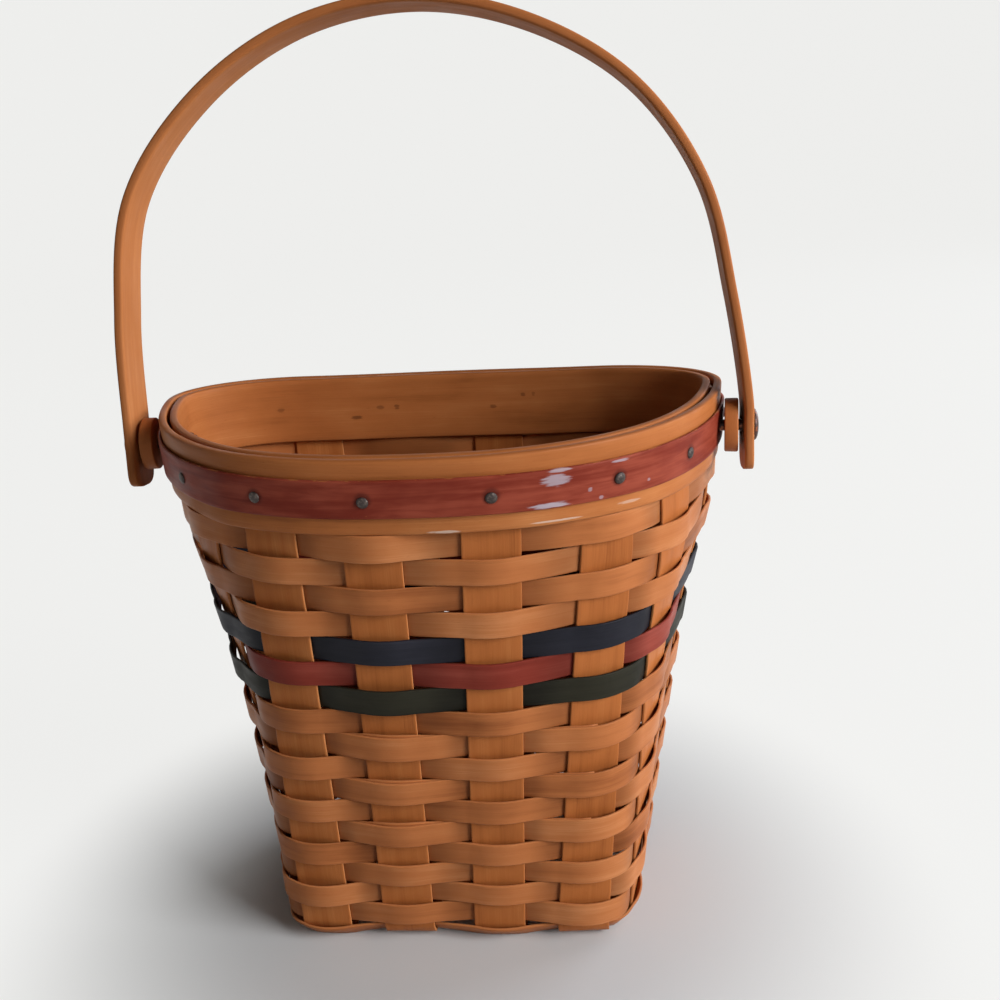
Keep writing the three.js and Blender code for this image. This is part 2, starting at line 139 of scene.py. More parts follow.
class PlanCurve:
    """A plan by arc length, with its outward normals."""

    SAMPLES = 2880
    EASING = 2.5 * MM

    def __init__(self, plan: Plan) -> None:
        """Resample a plan evenly and ease its corners.

        Args:
            plan: The plan to follow.
        """
        raw = plan.outline()
        closed = np.vstack([raw, raw[:1]])
        steps = np.linalg.norm(np.diff(closed, axis=0), axis=1)
        run = np.concatenate([[0], np.cumsum(steps)])
        even = np.linspace(0, run[-1], self.SAMPLES, endpoint=False)
        points = np.column_stack([np.interp(even, run, closed[:, i]) for i in range(2)])
        reach = self.EASING / (run[-1] / self.SAMPLES)
        distance = np.fft.fftfreq(self.SAMPLES)
        blur = np.exp(-2 * (math.pi * distance * reach) ** 2)[:, None]
        points = np.real(np.fft.ifft(np.fft.fft(points, axis=0) * blur, axis=0))
        tangent = np.roll(points, -1, axis=0) - np.roll(points, 1, axis=0)
        tangent /= np.linalg.norm(tangent, axis=1)[:, None]
        self.length = float(run[-1])
        self.rows = np.column_stack([points, tangent[:, 1], -tangent[:, 0]])

    def at(self, u: np.ndarray) -> np.ndarray:
        """Look the curve up at shares of the way round.

        Args:
            u: Shares of the whole way, which may pass 1.

        Returns:
            X and Y of the point and of its normal, on one more axis than u has.
        """
        place = np.mod(u, 1.0) * self.SAMPLES
        low = np.floor(place).astype(int) % self.SAMPLES
        part = (place - np.floor(place))[..., None]
        return self.rows[low] * (1 - part) + self.rows[(low + 1) % self.SAMPLES] * part


@dataclass
class Wall:
    """The surface through the middle of the uprights.

    A place round the wall is an upright's number, from 1 at the left front corner round by the
    right to 12. Whole numbers are the middles of uprights, and each upright reaches a quarter to
    either side.

    Attributes:
        rim_plan: Plan at the top of the bands.
        foot_plan: Plan where the uprights turn under.
        rim_share: Where the uprights stand at the rim, as shares of the way from the middle of
            the front (0) to the middle of the back (1), on round to the left (above 1).
        foot_share: The same at the foot.
        splint_width: Width of an upright.
        foot_z: Height of the foot plan.
        rim_z: Height of the rim plan.
        shift_y: How far the plans' flat back lies behind the frame's origin.
        swell: How far the left and right sides swell out below the rim.
        swell_at: Where they swell most, as a share of the height from foot to rim.
        swell_reach: How far the swell fades from there, as a share of that height.
        band_z: Height from which the swell runs out straight up to the rim.
    """

    rim_plan: Plan = Plan(104 * MM, 113.7 * MM, 28.4 * MM, 47 * MM, 2.41, 0.154)
    foot_plan: Plan = Plan(78.2 * MM, 86.7 * MM, 36.5 * MM, 25 * MM, 12, 0.179)
    rim_share: tuple[float, ...] = (
        -0.32, -0.184, -0.049, 0.099, 0.255, 0.376, 0.57, 0.79, 0.927, 1.073, 1.21, 1.43)
    foot_share: tuple[float, ...] = (
        -0.44, -0.232, -0.082, 0.08, 0.228, 0.39, 0.6, 0.772, 0.92, 1.08, 1.228, 1.38)
    splint_width: float = 19 * MM
    foot_z: float = 8.65 * MM
    rim_z: float = field(default_factory=lambda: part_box("outer_band")[1].z)
    shift_y: float = 0.0
    swell: float = 3.8 * MM
    swell_at: float = 0.78
    swell_reach: float = 0.135
    band_z: float = field(default_factory=lambda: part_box("outer_band")[0].z)

    REACH = 0.25
    COUNT = 12

    def __post_init__(self) -> None:
        """Measure the two plans and tie the uprights' edges to places round them."""
        self.rim = PlanCurve(self.rim_plan)
        self.foot = PlanCurve(self.foot_plan)
        self.rim_knots = self._knots(self.rim_share, self.rim.length)
        self.foot_knots = self._knots(self.foot_share, self.foot.length)

    def _knots(self, shares: tuple[float, ...], length: float) -> tuple[np.ndarray, np.ndarray]:
        """Pair places with shares of the way round at each upright's edges.

        Args:
            shares: Where the uprights' middles stand.
            length: Length of the plan.

        Returns:
            The places, and the shares of the whole way at each.
        """
        reach = self.splint_width / 2 / length
        places, ways = [], []
        for lap in (-1, 0, 1):
            for number, share in enumerate(shares, start=1):
                for side in (-1, 1):
                    places.append(number + lap * self.COUNT + side * self.REACH)
                    ways.append(share / 2 + lap + side * reach)
        return np.array(places), np.array(ways)

    def blend(self, place: np.ndarray, z: np.ndarray) -> np.ndarray:
        """Blend the two plans at places and heights.

        Args:
            place: Places round the wall.
            z: Heights.

        Returns:
            X and Y of the point and of its normal, on one more axis.
        """
        t = ((z - self.foot_z) / (self.rim_z - self.foot_z))[..., None]
        foot = self.foot.at(np.interp(place, *self.foot_knots))
        rim = self.rim.at(np.interp(place, *self.rim_knots))
        return foot * (1 - t) + rim * t

    def normal(self, place: np.ndarray, z: np.ndarray) -> np.ndarray:
        """Outward normals, level, at places and heights.

        Args:
            place: Places round the wall.
            z: Heights.

        Returns:
            Unit vectors with Z of 0.
        """
        place, z = np.broadcast_arrays(place, z)
        flat = self.blend(place, z)[..., 2:]
        flat = flat / np.linalg.norm(flat, axis=-1)[..., None]
        return np.concatenate([flat, np.zeros_like(flat[..., :1])], axis=-1)

    def points(self, place: np.ndarray, z: np.ndarray, offset: np.ndarray | float) -> np.ndarray:
        """Points beside the wall's middle surface.

        Args:
            place: Places round the wall.
            z: Heights.
            offset: Distances outwards from the middle of the uprights.

        Returns:
            Points in the frame, with one more axis than the places.
        """
        place, z, offset = np.broadcast_arrays(place, z, offset)
        flat = self.blend(place, z)[..., :2] + [0, self.shift_y]
        base = np.concatenate([flat, z[..., None]], axis=-1)
        normal = self.normal(place, z)
        low = (np.minimum(z, self.band_z) - self.foot_z) / (self.rim_z - self.foot_z)
        left = np.minimum(1, (self.rim_z - z) / (self.rim_z - self.band_z))
        swell = self.swell * left * np.exp(-((low - self.swell_at) / self.swell_reach) ** 2)
        return base + normal * (offset + swell * normal[..., 0] ** 2)[..., None]

    def stations(self, start: float, end: float, across: int, between: int) -> np.ndarray:
        """Places from one to another, closer together on the uprights if asked.

        Args:
            start: First place.
            end: Last place.
            across: Steps across an upright.
            between: Steps across a space.

        Returns:
            Rising places with both ends.
        """
        knots = [start]
        for number in range(math.floor(start) - 1, math.ceil(end) + 2):
            for low, high, steps in ((-self.REACH, self.REACH, across),
                                     (self.REACH, 1 - self.REACH, between)):
                inner = number + np.linspace(low, high, steps, endpoint=False)
                knots.extend(inner[(inner > start + 1e-6) & (inner < end - 1e-6)])
        return np.array(knots + [end])


# Meshes


def smooth(edge0: float, edge1: float, value: np.ndarray) -> np.ndarray:
    """Ease from 0 at one value to 1 at another."""
    t = np.clip((value - edge0) / (edge1 - edge0), 0, 1)
    return t * t * (3 - 2 * t)


def flowing(knots: np.ndarray, steps: int) -> np.ndarray:
    """Points on a smooth curve through knots, each stretch paced by the root of its length.

    Args:
        knots: The points to pass through.
        steps: Steps between two knots.

    Returns:
        Points from the first knot to the last.
    """
    padded = np.vstack([2 * knots[0] - knots[1], knots, 2 * knots[-1] - knots[-2]])
    pace = np.sqrt(np.linalg.norm(np.diff(padded, axis=0), axis=1))
    t = np.linspace(0, 1, steps, endpoint=False)[:, None]
    stretches = []
    for i in range(1, len(padded) - 2):
        p, (before, here, after) = padded[i - 1:i + 3], pace[i - 1:i + 2]
        leave = ((p[1] - p[0]) / before - (p[2] - p[0]) / (before + here) + (p[2] - p[1]) / here) * here
        reach = ((p[2] - p[1]) / here - (p[3] - p[1]) / (here + after) + (p[3] - p[2]) / after) * here
        stretches.append(p[1] * (2 * t ** 3 - 3 * t ** 2 + 1) + p[2] * (3 * t ** 2 - 2 * t ** 3)
                         + leave * (t ** 3 - 2 * t ** 2 + t) + reach * (t ** 3 - t ** 2))
    return np.vstack([*stretches, knots[-1:]])


def strip_outline(width: float, thick: float, rounding: float) -> np.ndarray:
    """Outline of a flat strip with rounded edges.

    Args:
        width: Width of the strip.
        thick: Thickness of the strip.
        rounding: Radius along its edges.

    Returns:
        Rows of distance across, distance outwards and share of a cut edge, counter-clockwise
        seen along the strip, with a supporting point beside each rounding.
    """
    a, t = width / 2 - rounding, thick / 2 - rounding
    support = min(2 * rounding, a / 2)
    rows = []
    for sx, sy, first in ((1, 1, 0), (-1, 1, 90), (-1, -1, 180), (1, -1, 270)):
        corner = []
        for step in (0, 45, 90):
            angle = math.radians(first + step)
            corner.append((sx * a + rounding * math.cos(angle), sy * t + rounding * math.sin(angle),
                           abs(math.cos(angle))))
        flat = (sx * (a - support), sy * thick / 2, 0.0)
        rows.extend(corner + [flat] if first in (0, 180) else [flat] + corner)
    return np.array(rows)


def linked(name: str, data: bpy.types.ID) -> Piece:
    """Put new data into the scene as an object."""
    made = bpy.data.objects.new(name, data)
    bpy.context.scene.collection.objects.link(made)
    return made


def store(mesh: bpy.types.Mesh, name: str, domain: str, values: np.ndarray) -> None:
    """Store a vector at each point or face corner of a mesh."""
    attribute = mesh.attributes.new(name, "FLOAT_VECTOR", domain)
    attribute.data.foreach_set("vector", values.astype(np.float32).ravel())


@dataclass
class Ribbon:
    """A flat strip swept along lines that run side by side, with unbent coordinates.

    Attributes:
        lines: Points of each line at each stop: stops, lines across, and X, Y, Z.
        thick: Thickness of the strip.
        rounding: Radius along its edges.
        closed: Whether it is a ring.
        width: Width that the outer lines stand apart, for the unbent coordinates.
    """

    lines: np.ndarray
    thick: float
    rounding: float
    closed: bool
    width: float

    def sections(self, outline: np.ndarray) -> np.ndarray:
        """Carry an outline along, with its outside where the way along crosses the way across.

        Args:
            outline: Rows as strip_outline gives them.

        Returns:
            Points: stops, the outline's rows, and X, Y, Z.
        """
        lines = self.lines
        if self.closed:
            ahead, behind = np.roll(lines, -1, axis=0), np.roll(lines, 1, axis=0)
        else:
            padded = np.concatenate([2 * lines[:1] - lines[1:2], lines, 2 * lines[-1:] - lines[-2:-1]])
            ahead, behind = padded[2:], padded[:-2]
        out = np.cross(ahead - behind, np.gradient(lines, axis=1))
        out /= np.linalg.norm(out, axis=-1)[..., None]
        share = (outline[:, 0] / self.width + 0.5) * (lines.shape[1] - 1)
        low = np.clip(np.floor(share).astype(int), 0, lines.shape[1] - 2)
        part = (share - low)[None, :, None]
        base = lines[:, low] * (1 - part) + lines[:, low + 1] * part
        normal = out[:, low] * (1 - part) + out[:, low + 1] * part
        return base + normal * outline[None, :, 1, None]

    def unbent(self, outline: np.ndarray, origin: tuple[float, float]) -> np.ndarray:
        """Unbent coordinates of every face corner, in the order of the faces.

        Args:
            outline: Rows as strip_outline gives them.
            origin: Offset along and across, so that no two pieces share a grain.

        Returns:
            Rows of distance along, across and outwards.
        """
        middle = self.lines.mean(axis=1)
        loop = np.vstack([middle, middle[:1]]) if self.closed else middle
        along = np.concatenate([[0], np.cumsum(np.linalg.norm(np.diff(loop, axis=0), axis=1))])
        along += origin[0]
        own = outline[:, :2] + [origin[1], 0]
        rows = np.empty((len(along) - 1, len(own), 4, 3))
        rows[..., :2, 0] = along[:-1, None, None]
        rows[..., 2:, 0] = along[1:, None, None]
        rows[..., [0, 3], 1:] = own[:, None]
        rows[..., [1, 2], 1:] = np.roll(own, -1, axis=0)[:, None]
        rows = rows.reshape(-1, 3)
        if self.closed:
            return rows
        first, last = (np.column_stack([np.full(len(own), at), own]) for at in (along[0], along[-1]))
        return np.vstack([rows, first[::-1], last])

    def build(self, name: str, look: np.ndarray, origin: tuple[float, float]) -> Piece:
        """Sweep the strip.

        Args:
            name: Name of the piece.
            look: Tone, and grime with painted shade, at each stop.
            origin: Offset of the unbent coordinates.

        Returns:
            The new object.
        """
        outline = strip_outline(self.width, self.thick, self.rounding)
        sections = self.sections(outline)
        count, ring = sections.shape[:2]
        stop = ring * np.arange(count if self.closed else count - 1)[:, None]
        after = (stop + ring) % (count * ring)
        here = np.arange(ring)
        beside = (here + 1) % ring
        quads = np.stack([stop + here, stop + beside, after + beside, after + here], axis=-1)
        faces = quads.reshape(-1, 4).tolist()
        if not self.closed:
            faces.extend([here[::-1].tolist(), (here + (count - 1) * ring).tolist()])
        mesh = bpy.data.meshes.new(name)
        mesh.from_pydata(sections.reshape(-1, 3).tolist(), [], faces)
        mesh.polygons.foreach_set("use_smooth", [len(face) == 4 for face in faces])
        store(mesh, "grain", "CORNER", self.unbent(outline, origin))
        shade = np.empty((count, ring, 3))
        shade[..., 0] = outline[:, 2]
        shade[..., 1:] = look[:, None]
        store(mesh, "look", "POINT", shade)
        mesh.validate()
        return linked(name, mesh)


def turned(name: str, profile: np.ndarray, sides: int, origin: Vector, axis: Vector
           ) -> Piece:
    """Turn a profile about an axis.

    Args:
        name: Name of the piece.
        profile: Rows of radius and distance along the axis, starting and ending on the axis.
        sides: Steps round.
        origin: Where the axis starts.
        axis: Way that the axis points.

    Returns:
        The new object, with its vertices in the frame.
    """
    angles = np.linspace(0, 2 * math.pi, sides, endpoint=False)
    inner = profile[1:-1]
    ring = np.stack([
        inner[:, None, 0] * np.cos(angles), inner[:, None, 0] * np.sin(angles),
        np.broadcast_to(inner[:, None, 1], (len(inner), sides)),
    ], axis=-1)
    points = np.vstack([[[0, 0, profile[0, 1]]], ring.reshape(-1, 3), [[0, 0, profile[-1, 1]]]])
    faces = []
    for j in range(sides):
        j1 = (j + 1) % sides
        faces.append([0, 1 + j1, 1 + j])
        for i in range(len(inner) - 1):
            a, b = 1 + i * sides, 1 + (i + 1) * sides
            faces.append([a + j, a + j1, b + j1, b + j])
        last = 1 + (len(inner) - 1) * sides
        faces.append([last + j, last + j1, len(points) - 1])
    mesh = bpy.data.meshes.new(name)
    mesh.from_pydata(points.tolist(), [], faces)
    mesh.polygons.foreach_set("use_smooth", np.ones(len(faces), bool))
    mesh.set_sharp_from_angle(angle=math.radians(40))
    turn = Vector((0, 0, 1)).rotation_difference(axis).to_matrix().to_4x4()
    store(mesh, "grain", "POINT", points)
    mesh.transform(Matrix.Translation(origin) @ turn)
    return linked(name, mesh)


def dome(radius: float, seat: float, height: float, edge: float, degrees: tuple[float, ...]
         ) -> list[tuple[float, float]]:
    """Profile of a domed head above its edge.

    Args:
        radius: Radius of the head.
        seat: Where it sits along the axis.
        height: How far its middle stands up.
        edge: How far its edge stands up, as a share of that.
        degrees: Angles of the profile's rows, from 0 at the edge to 90 in the middle.

    Returns:
        Rows of radius and distance along the axis.
    """
    return [(radius * math.cos(a), seat + height * (edge + (1 - edge) * math.sin(a)))
            for a in np.radians(degrees)]


def rounded_disc(radius: float, low: float, high: float, rounding: float) -> np.ndarray:
    """Profile of a disc with rounded rims.

    Args:
        radius: Radius of the disc.
        low: Where its first face lies along the axis.
        high: Where its second face lies.
        rounding: Radius of its rims.

    Returns:
        Rows of radius and distance along the axis.
    """
    rows = [(0, low), (radius - rounding, low)]
    for degrees in (-60, -30, 0, 30, 60):
        a = math.radians(degrees)
        centre = low + rounding if degrees < 0 else high - rounding
        rows.append((radius - rounding + rounding * math.cos(a), centre + rounding * math.sin(a)))
    rows.extend((share * (radius - rounding), high) for share in (1, 0.8, 0.6, 0.4, 0.2, 0))
    return np.array(rows)


# Finishes


@dataclass(frozen=True)
class Pattern:
    """Noise stretched along the grain.

    Attributes:
        along: How fine it is along the grain.
        across: How fine it is across it.
        detail: How many finer layers it has.
        rough: How strong those are.
        twist: How far it distorts itself.
    """

    along: float
    across: float
    detail: float
    rough: float
    twist: float = 0.0


STREAKS = Pattern(9, 300, 3, 0.5, 0.3)
FIBRES = Pattern(60, 2200, 3, 0.6)
BLOTCHES = Pattern(34, 70, 3, 0.5)
PORES = Pattern(420, 3400, 2, 0.5)
GLOSS = Pattern(60, 140, 3, 0.6)
BROKEN = Pattern(170, 1500, 3, 0.6)
LONG_WEAR = Pattern(30, 420, 5, 0.6, 0.6)
PATCHES = Pattern(45, 110, 3, 0.55)
CHIPS = Pattern(240, 700, 4, 0.7)
SPECKS = Pattern(700, 1100, 2, 0.5)


class Tree:
    """Short ways to write a node material."""

    def __init__(self, name: str) -> None:
        """Start a material with its shader and output.

        Args:
            name: Name of the material.
        """
        self.material = bpy.data.materials.new(name)
        self.material.use_nodes = True
        self.nodes = self.material.node_tree.nodes
        self.links = self.material.node_tree.links
        self.nodes.clear()
        self.shader = self.nodes.new("ShaderNodeBsdfPrincipled")
        self.output = self.nodes.new("ShaderNodeOutputMaterial")
        self.links.new(self.shader.outputs[0], self.output.inputs[0])

    def put(self, socket: Socket, value: object) -> None:
        """Link a socket, or set it where the value is plain."""
        if isinstance(value, Socket):
            self.links.new(value, socket)
        else:
            socket.default_value = value

    def attribute(self, name: str) -> Socket:
        """Read a named attribute of the mesh."""
        node = self.nodes.new("ShaderNodeAttribute")
        node.attribute_name = name
        return node.outputs["Vector"]

    def split(self, vector: Socket) -> list[Socket]:
        """Split a vector into its three numbers."""
        node = self.nodes.new("ShaderNodeSeparateXYZ")
        self.put(node.inputs[0], vector)
        return list(node.outputs)

    def math(self, kind: str, a: object, b: object) -> Socket:
        """Do one sum on two numbers."""
        node = self.nodes.new("ShaderNodeMath")
        node.operation = kind
        self.put(node.inputs[0], a)
        self.put(node.inputs[1], b)
        return node.outputs[0]

    def times(self, a: object, b: object) -> Socket:
        """Multiply two numbers."""
        return self.math("MULTIPLY", a, b)

    def weigh(self, *parts: tuple[Socket, float]) -> Socket:
        """Add numbers up by their weights."""
        total: object = 0.0
        for value, weight in parts:
            total = self.math("ADD", total, self.times(value, weight))
        return total

    def distance(self, vector: Socket) -> Socket:
        """Length of a vector."""
        node = self.nodes.new("ShaderNodeVectorMath")
        node.operation = "LENGTH"
        self.put(node.inputs[0], vector)
        return node.outputs["Value"]

    def noise(self, vector: Socket, scale: float, detail: float, rough: float,
              distortion: float = 0.0) -> Socket:
        """Noise from 0 to 1 at a vector."""
        node = self.nodes.new("ShaderNodeTexNoise")
        self.put(node.inputs["Vector"], vector)
        for key, number in zip(("Scale", "Detail", "Roughness", "Distortion"),
                               (scale, detail, rough, distortion)):
            node.inputs[key].default_value = number
        return node.outputs["Fac"]

    def pattern(self, kind: Pattern) -> Socket:
        """Noise from 0 to 1 that runs along the grain."""
        node = self.nodes.new("ShaderNodeVectorMath")
        node.operation = "MULTIPLY"
        self.put(node.inputs[0], self.attribute("grain"))
        self.put(node.inputs[1], (kind.along, kind.across, kind.across))
        return self.noise(node.outputs[0], 1.0, kind.detail, kind.rough, kind.twist)

    def ease(self, value: object, low: float, high: float, to_low: float = 0.0,
             to_high: float = 1.0) -> Socket:
        """Ease a number from one range into another."""
        node = self.nodes.new("ShaderNodeMapRange")
        node.interpolation_type = "SMOOTHSTEP"
        for key, number in zip(("From Min", "From Max", "To Min", "To Max"),
                               (low, high, to_low, to_high)):
            node.inputs[key].default_value = number
        self.put(node.inputs["Value"], value)
        return node.outputs["Result"]

    def mix(self, share: object, a: object, b: object) -> Socket:
        """Mix two colours."""
        node = self.nodes.new("ShaderNodeMix")
        node.data_type = "RGBA"
        self.put(node.inputs["Factor"], share)
        self.put(node.inputs[6], a)
        self.put(node.inputs[7], b)
        return node.outputs[2]

    def bump(self, height: Socket, distance: float, strength: float) -> None:
        """Raise the surface by a height from 0 to 1."""
        node = self.nodes.new("ShaderNodeBump")
        node.inputs["Distance"].default_value = distance
        node.inputs["Strength"].default_value = strength
        self.put(node.inputs["Height"], height)
        self.links.new(node.outputs[0], self.shader.inputs["Normal"])


def colour(red: int, green: int, blue: int) -> Colour:
    """Linear colour from the usual 0 to 255 numbers."""
    def line(c: int) -> float:
        """One channel."""
        v = c / 255
        return v / 12.92 if v <= 0.04045 else ((v + 0.055) / 1.055) ** 2.4

    return line(red), line(green), line(blue), 1.0


@dataclass(frozen=True)
class Scuff:
    """A smear on a strip, in the strip's own coordinates.

    Attributes:
        along: Distance along the strip.
        across: Distance across it.
        length: Half of its length.
        height: Half of its height.
        cover: How much of the strip it hides.
    """

    along: float
    across: float
    length: float
    height: float
    cover: float


@dataclass(frozen=True)
class WoodFinish:
    """Oiled or stained wood with its grain along the strip.

    Attributes:
        name: Name of the material.
        deep: Colour of the darkest grain.
        middle: Colour between.
        pale: Colour of the palest grain.
        edge: Colour of the cut edges.
        edge_share: How much of the edge colour shows.
        roughness: Roughness of the varnish.
        fleck: How dark the small flecks are.
        blotch: How far the broad blotches change the tone.
        streak: How far the streaks along the grain change it.
        marks: Smears or specks at places of their own.
        mark_colour: Their colour.
        shine: How strongly it mirrors.
    """

    name: str
    deep: Colour
    middle: Colour
    pale: Colour
    edge: Colour
    edge_share: float = 0.5
    roughness: float = 0.48
    fleck: float = 0.34
    blotch: float = 0.3
    streak: float = 0.34
    marks: tuple[Scuff, ...] = ()
    mark_colour: Colour = (0.0, 0.0, 0.0, 1.0)
    shine: float = 0.09

    def grown(self, tree: Tree) -> tuple[Socket, Socket]:
        """Colour and height of the wood, before any marks.

        Args:
            tree: The material's nodes.

        Returns:
            The colour and the height.
        """
        edge, tone, grime_and_shade = tree.split(tree.attribute("look"))
        streak, fine = tree.pattern(STREAKS), tree.pattern(FIBRES)
        level = 0.39 - 0.5 * (self.streak + self.blotch)
        share = tree.math("ADD", level, tree.weigh(
            (streak, self.streak), (fine, 0.22), (tree.pattern(BLOTCHES), self.blotch), (tone, 1.0)))
        shade = tree.mix(tree.ease(share, 0.2, 0.52), self.deep, self.middle)
        shade = tree.mix(tree.ease(share, 0.48, 0.8), shade, self.pale)
        flecks = tree.times(tree.ease(tree.pattern(PORES), 0.66, 0.8), self.fleck)
        shade = tree.mix(flecks, shade, self.deep)
        worn = tree.times(tree.ease(edge, 0.35, 1.0), self.edge_share)
        shade = tree.mix(worn, shade, self.edge)
        # Painted shade, with grime: the look's third channel darkens the wood towards a third of its
        # deepest colour.
        dark = tuple(0.32 * c for c in self.deep[:3]) + (1.0,)
        shade = tree.mix(grime_and_shade, shade, dark)
        tree.put(tree.shader.inputs["Roughness"], tree.ease(
            tree.pattern(GLOSS), 0.3, 0.7, self.roughness - 0.07, self.roughness + 0.1))
        return shade, tree.weigh((fine, 0.55), (streak, 0.45))

    def material(self) -> bpy.types.Material:
        """Make the finish."""
        tree = Tree(self.name)
        shade, height = self.grown(tree)
        if self.marks:
            shade = tree.mix(smears(tree, self.marks), shade, self.mark_colour)
        tree.put(tree.shader.inputs["Base Color"], shade)
        tree.shader.inputs["Coat Weight"].default_value = 0.03
        tree.shader.inputs["Coat Roughness"].default_value = 0.3
        tree.shader.inputs["Specular IOR Level"].default_value = self.shine
        tree.bump(height, 0.12 * MM, 0.7)
        return tree.material


def smears(tree: Tree, scuffs: tuple[Scuff, ...]) -> Socket:
    """Share of a strip that its smears or specks hide.

    Args:
        tree: The material's nodes.
        scuffs: Where they lie.

    Returns:
        A number from 0 to 1.
    """
    x, y, _ = tree.split(tree.attribute("grain"))
    ragged = tree.times(tree.math("SUBTRACT", tree.pattern(BROKEN), 0.5), 3.0)
    total: object = 0.0
    for scuff in scuffs:
        dx = tree.math("DIVIDE", tree.math("SUBTRACT", x, scuff.along), scuff.length)
        dy = tree.math("DIVIDE", tree.math("SUBTRACT", y, scuff.across), scuff.height)
        reach = tree.math("ADD", tree.math("POWER", dx, 2.0), tree.math("POWER", dy, 2.0))
        reach = tree.math("ADD", reach, ragged)
        total = tree.math("MAXIMUM", total, tree.ease(reach, 1.25, 0.35, 0.0, scuff.cover))
    return total


@dataclass(frozen=True)
class PaintedFinish:
    """Thin worn paint over a wooden strip, with smears and stains round the tacks.

    Attributes:
        name: Name of the material.
        wood: The wood under the paint.
        dark: Colour of the paint where it is thick.
        faded: Colour of the paint where it is worn.
        scuff: Colour of the smears.
        scuffs: Where the smears lie.
    """

    name: str
    wood: WoodFinish
    dark: Colour
    faded: Colour
    scuff: Colour
    scuffs: tuple[Scuff, ...]

    def material(self) -> bpy.types.Material:
        """Make the finish."""
        tree = Tree(self.name)
        shade, height = self.wood.grown(tree)
        edge, _, grime_and_shade = tree.split(tree.attribute("look"))
        fade = tree.weigh((tree.pattern(LONG_WEAR), 0.55), (tree.pattern(PATCHES), 0.45))
        paint = tree.mix(tree.ease(fade, 0.38, 0.66), self.dark, self.faded)
        halo = tree.ease(tree.distance(tree.attribute("tack")), 3.4 * MM, 1.9 * MM, 0.0, 0.55)
        paint = tree.mix(halo, paint, colour(58, 22, 18))
        bare = tree.times(tree.ease(edge, 0.5, 1.0), tree.ease(tree.pattern(CHIPS), 0.5, 0.62))
        specks = tree.times(tree.ease(tree.pattern(SPECKS), 0.76, 0.8), 0.7)
        paint = tree.mix(tree.math("MAXIMUM", bare, specks), paint, shade)
        smear = smears(tree, self.scuffs)
        paint = tree.mix(smear, paint, self.scuff)
        # Painted shade, with grime, from the look's third channel; the rim rings leave it at zero.
        tree.put(tree.shader.inputs["Base Color"], tree.mix(grime_and_shade, paint, colour(30, 12, 10)))
        tree.shader.inputs["Specular IOR Level"].default_value = 0.1
        tree.bump(tree.weigh((height, 0.5), (smear, 0.8)), 0.12 * MM, 0.6)
        return tree.material


@dataclass(frozen=True)
class MetalFinish:
    """Dulled metal with tarnish.

    Attributes:
        name: Name of the material.
        bright: Colour of the metal where it is rubbed.
        tarnish: Colour of the tarnish.
        roughness: Roughness of the metal.
        tarnished: How much of it is tarnished.
        scale: How fine the tarnish is.
        pitted: How deep it is pitted.
    """

    name: str
    bright: Colour
    tarnish: Colour
    roughness: float
    tarnished: float
    scale: float
    pitted: float

    def material(self) -> bpy.types.Material:
        """Make the finish."""
        tree = Tree(self.name)
        place = tree.attribute("grain")
        spots = tree.noise(place, self.scale, 5.0, 0.65, 0.3)
        rubbed = tree.noise(place, self.scale * 3.1, 3.0, 0.6)
        share = tree.ease(spots, 0.62 - 0.3 * self.tarnished, 0.74 - 0.3 * self.tarnished)
        tree.put(tree.shader.inputs["Base Color"], tree.mix(share, self.bright, self.tarnish))
        tree.put(tree.shader.inputs["Metallic"], tree.ease(share, 0.0, 1.0, 1.0, 0.35))
        tree.put(tree.shader.inputs["Roughness"], tree.ease(
            rubbed, 0.3, 0.7, self.roughness - 0.08, self.roughness + 0.14))
        tree.bump(spots, self.pitted, 0.7)
        return tree.material


STAINED = {"roughness": 0.5, "fleck": 0.2, "blotch": 0.4}
MAPLE = WoodFinish(
    "weaver_wood", colour(136, 75, 38), colour(178, 107, 60), colour(202, 135, 86),
    colour(196, 132, 84), edge_share=0.35, roughness=0.44, fleck=0.4, blotch=0.4)
UPRIGHT = WoodFinish(
    "splint_wood", colour(134, 72, 32), colour(172, 100, 50), colour(194, 122, 68),
    colour(206, 142, 90))
BAND = WoodFinish(
    "band_wood", colour(132, 73, 34), colour(172, 102, 54), colour(196, 128, 76),
    colour(134, 76, 40), edge_share=0.4, roughness=0.46, fleck=0.5, blotch=0.44, shine=0.08)
BENT = WoodFinish(
    "handle_wood", colour(136, 76, 38), colour(176, 108, 60), colour(198, 132, 82),
    colour(136, 74, 40), edge_share=0.35, roughness=0.55, shine=0.05)
DISC = WoodFinish(
    "spacer_wood", colour(130, 70, 34), colour(168, 98, 52), colour(188, 118, 70),
    colour(180, 114, 68), edge_share=0.3)
DYED = {
    Dye.NATURAL: MAPLE,
    Dye.NAVY: WoodFinish("dyed_navy", colour(20, 20, 25), colour(36, 36, 43), colour(56, 55, 64),
                         colour(32, 28, 28), **STAINED),
    Dye.RED: WoodFinish("dyed_red", colour(84, 27, 19), colour(124, 47, 35), colour(150, 70, 56),
                        colour(104, 40, 28), edge_share=0.4, **STAINED),
    Dye.GREEN: WoodFinish("dyed_green", colour(24, 22, 16), colour(42, 40, 30), colour(62, 59, 46),
                          colour(38, 32, 24), **STAINED)}
SMEARS = (
    Scuff(46.2 * MM, 2.9 * MM, 4.7 * MM, 2.1 * MM, 0.6),
    Scuff(47.4 * MM, 6.0 * MM, 3.6 * MM, 0.6 * MM, 0.6),
    Scuff(44.6 * MM, -5.3 * MM, 6.3 * MM, 1.0 * MM, 0.75),
    Scuff(68.2 * MM, 5.5 * MM, 3.2 * MM, 0.5 * MM, 0.55),
    Scuff(57.8 * MM, -2.1 * MM, 0.8 * MM, 0.7 * MM, 0.4),
    Scuff(61.9 * MM, -5.4 * MM, 0.9 * MM, 0.6 * MM, 0.4),
    Scuff(79.8 * MM, -3.3 * MM, 0.8 * MM, 0.5 * MM, 0.4))
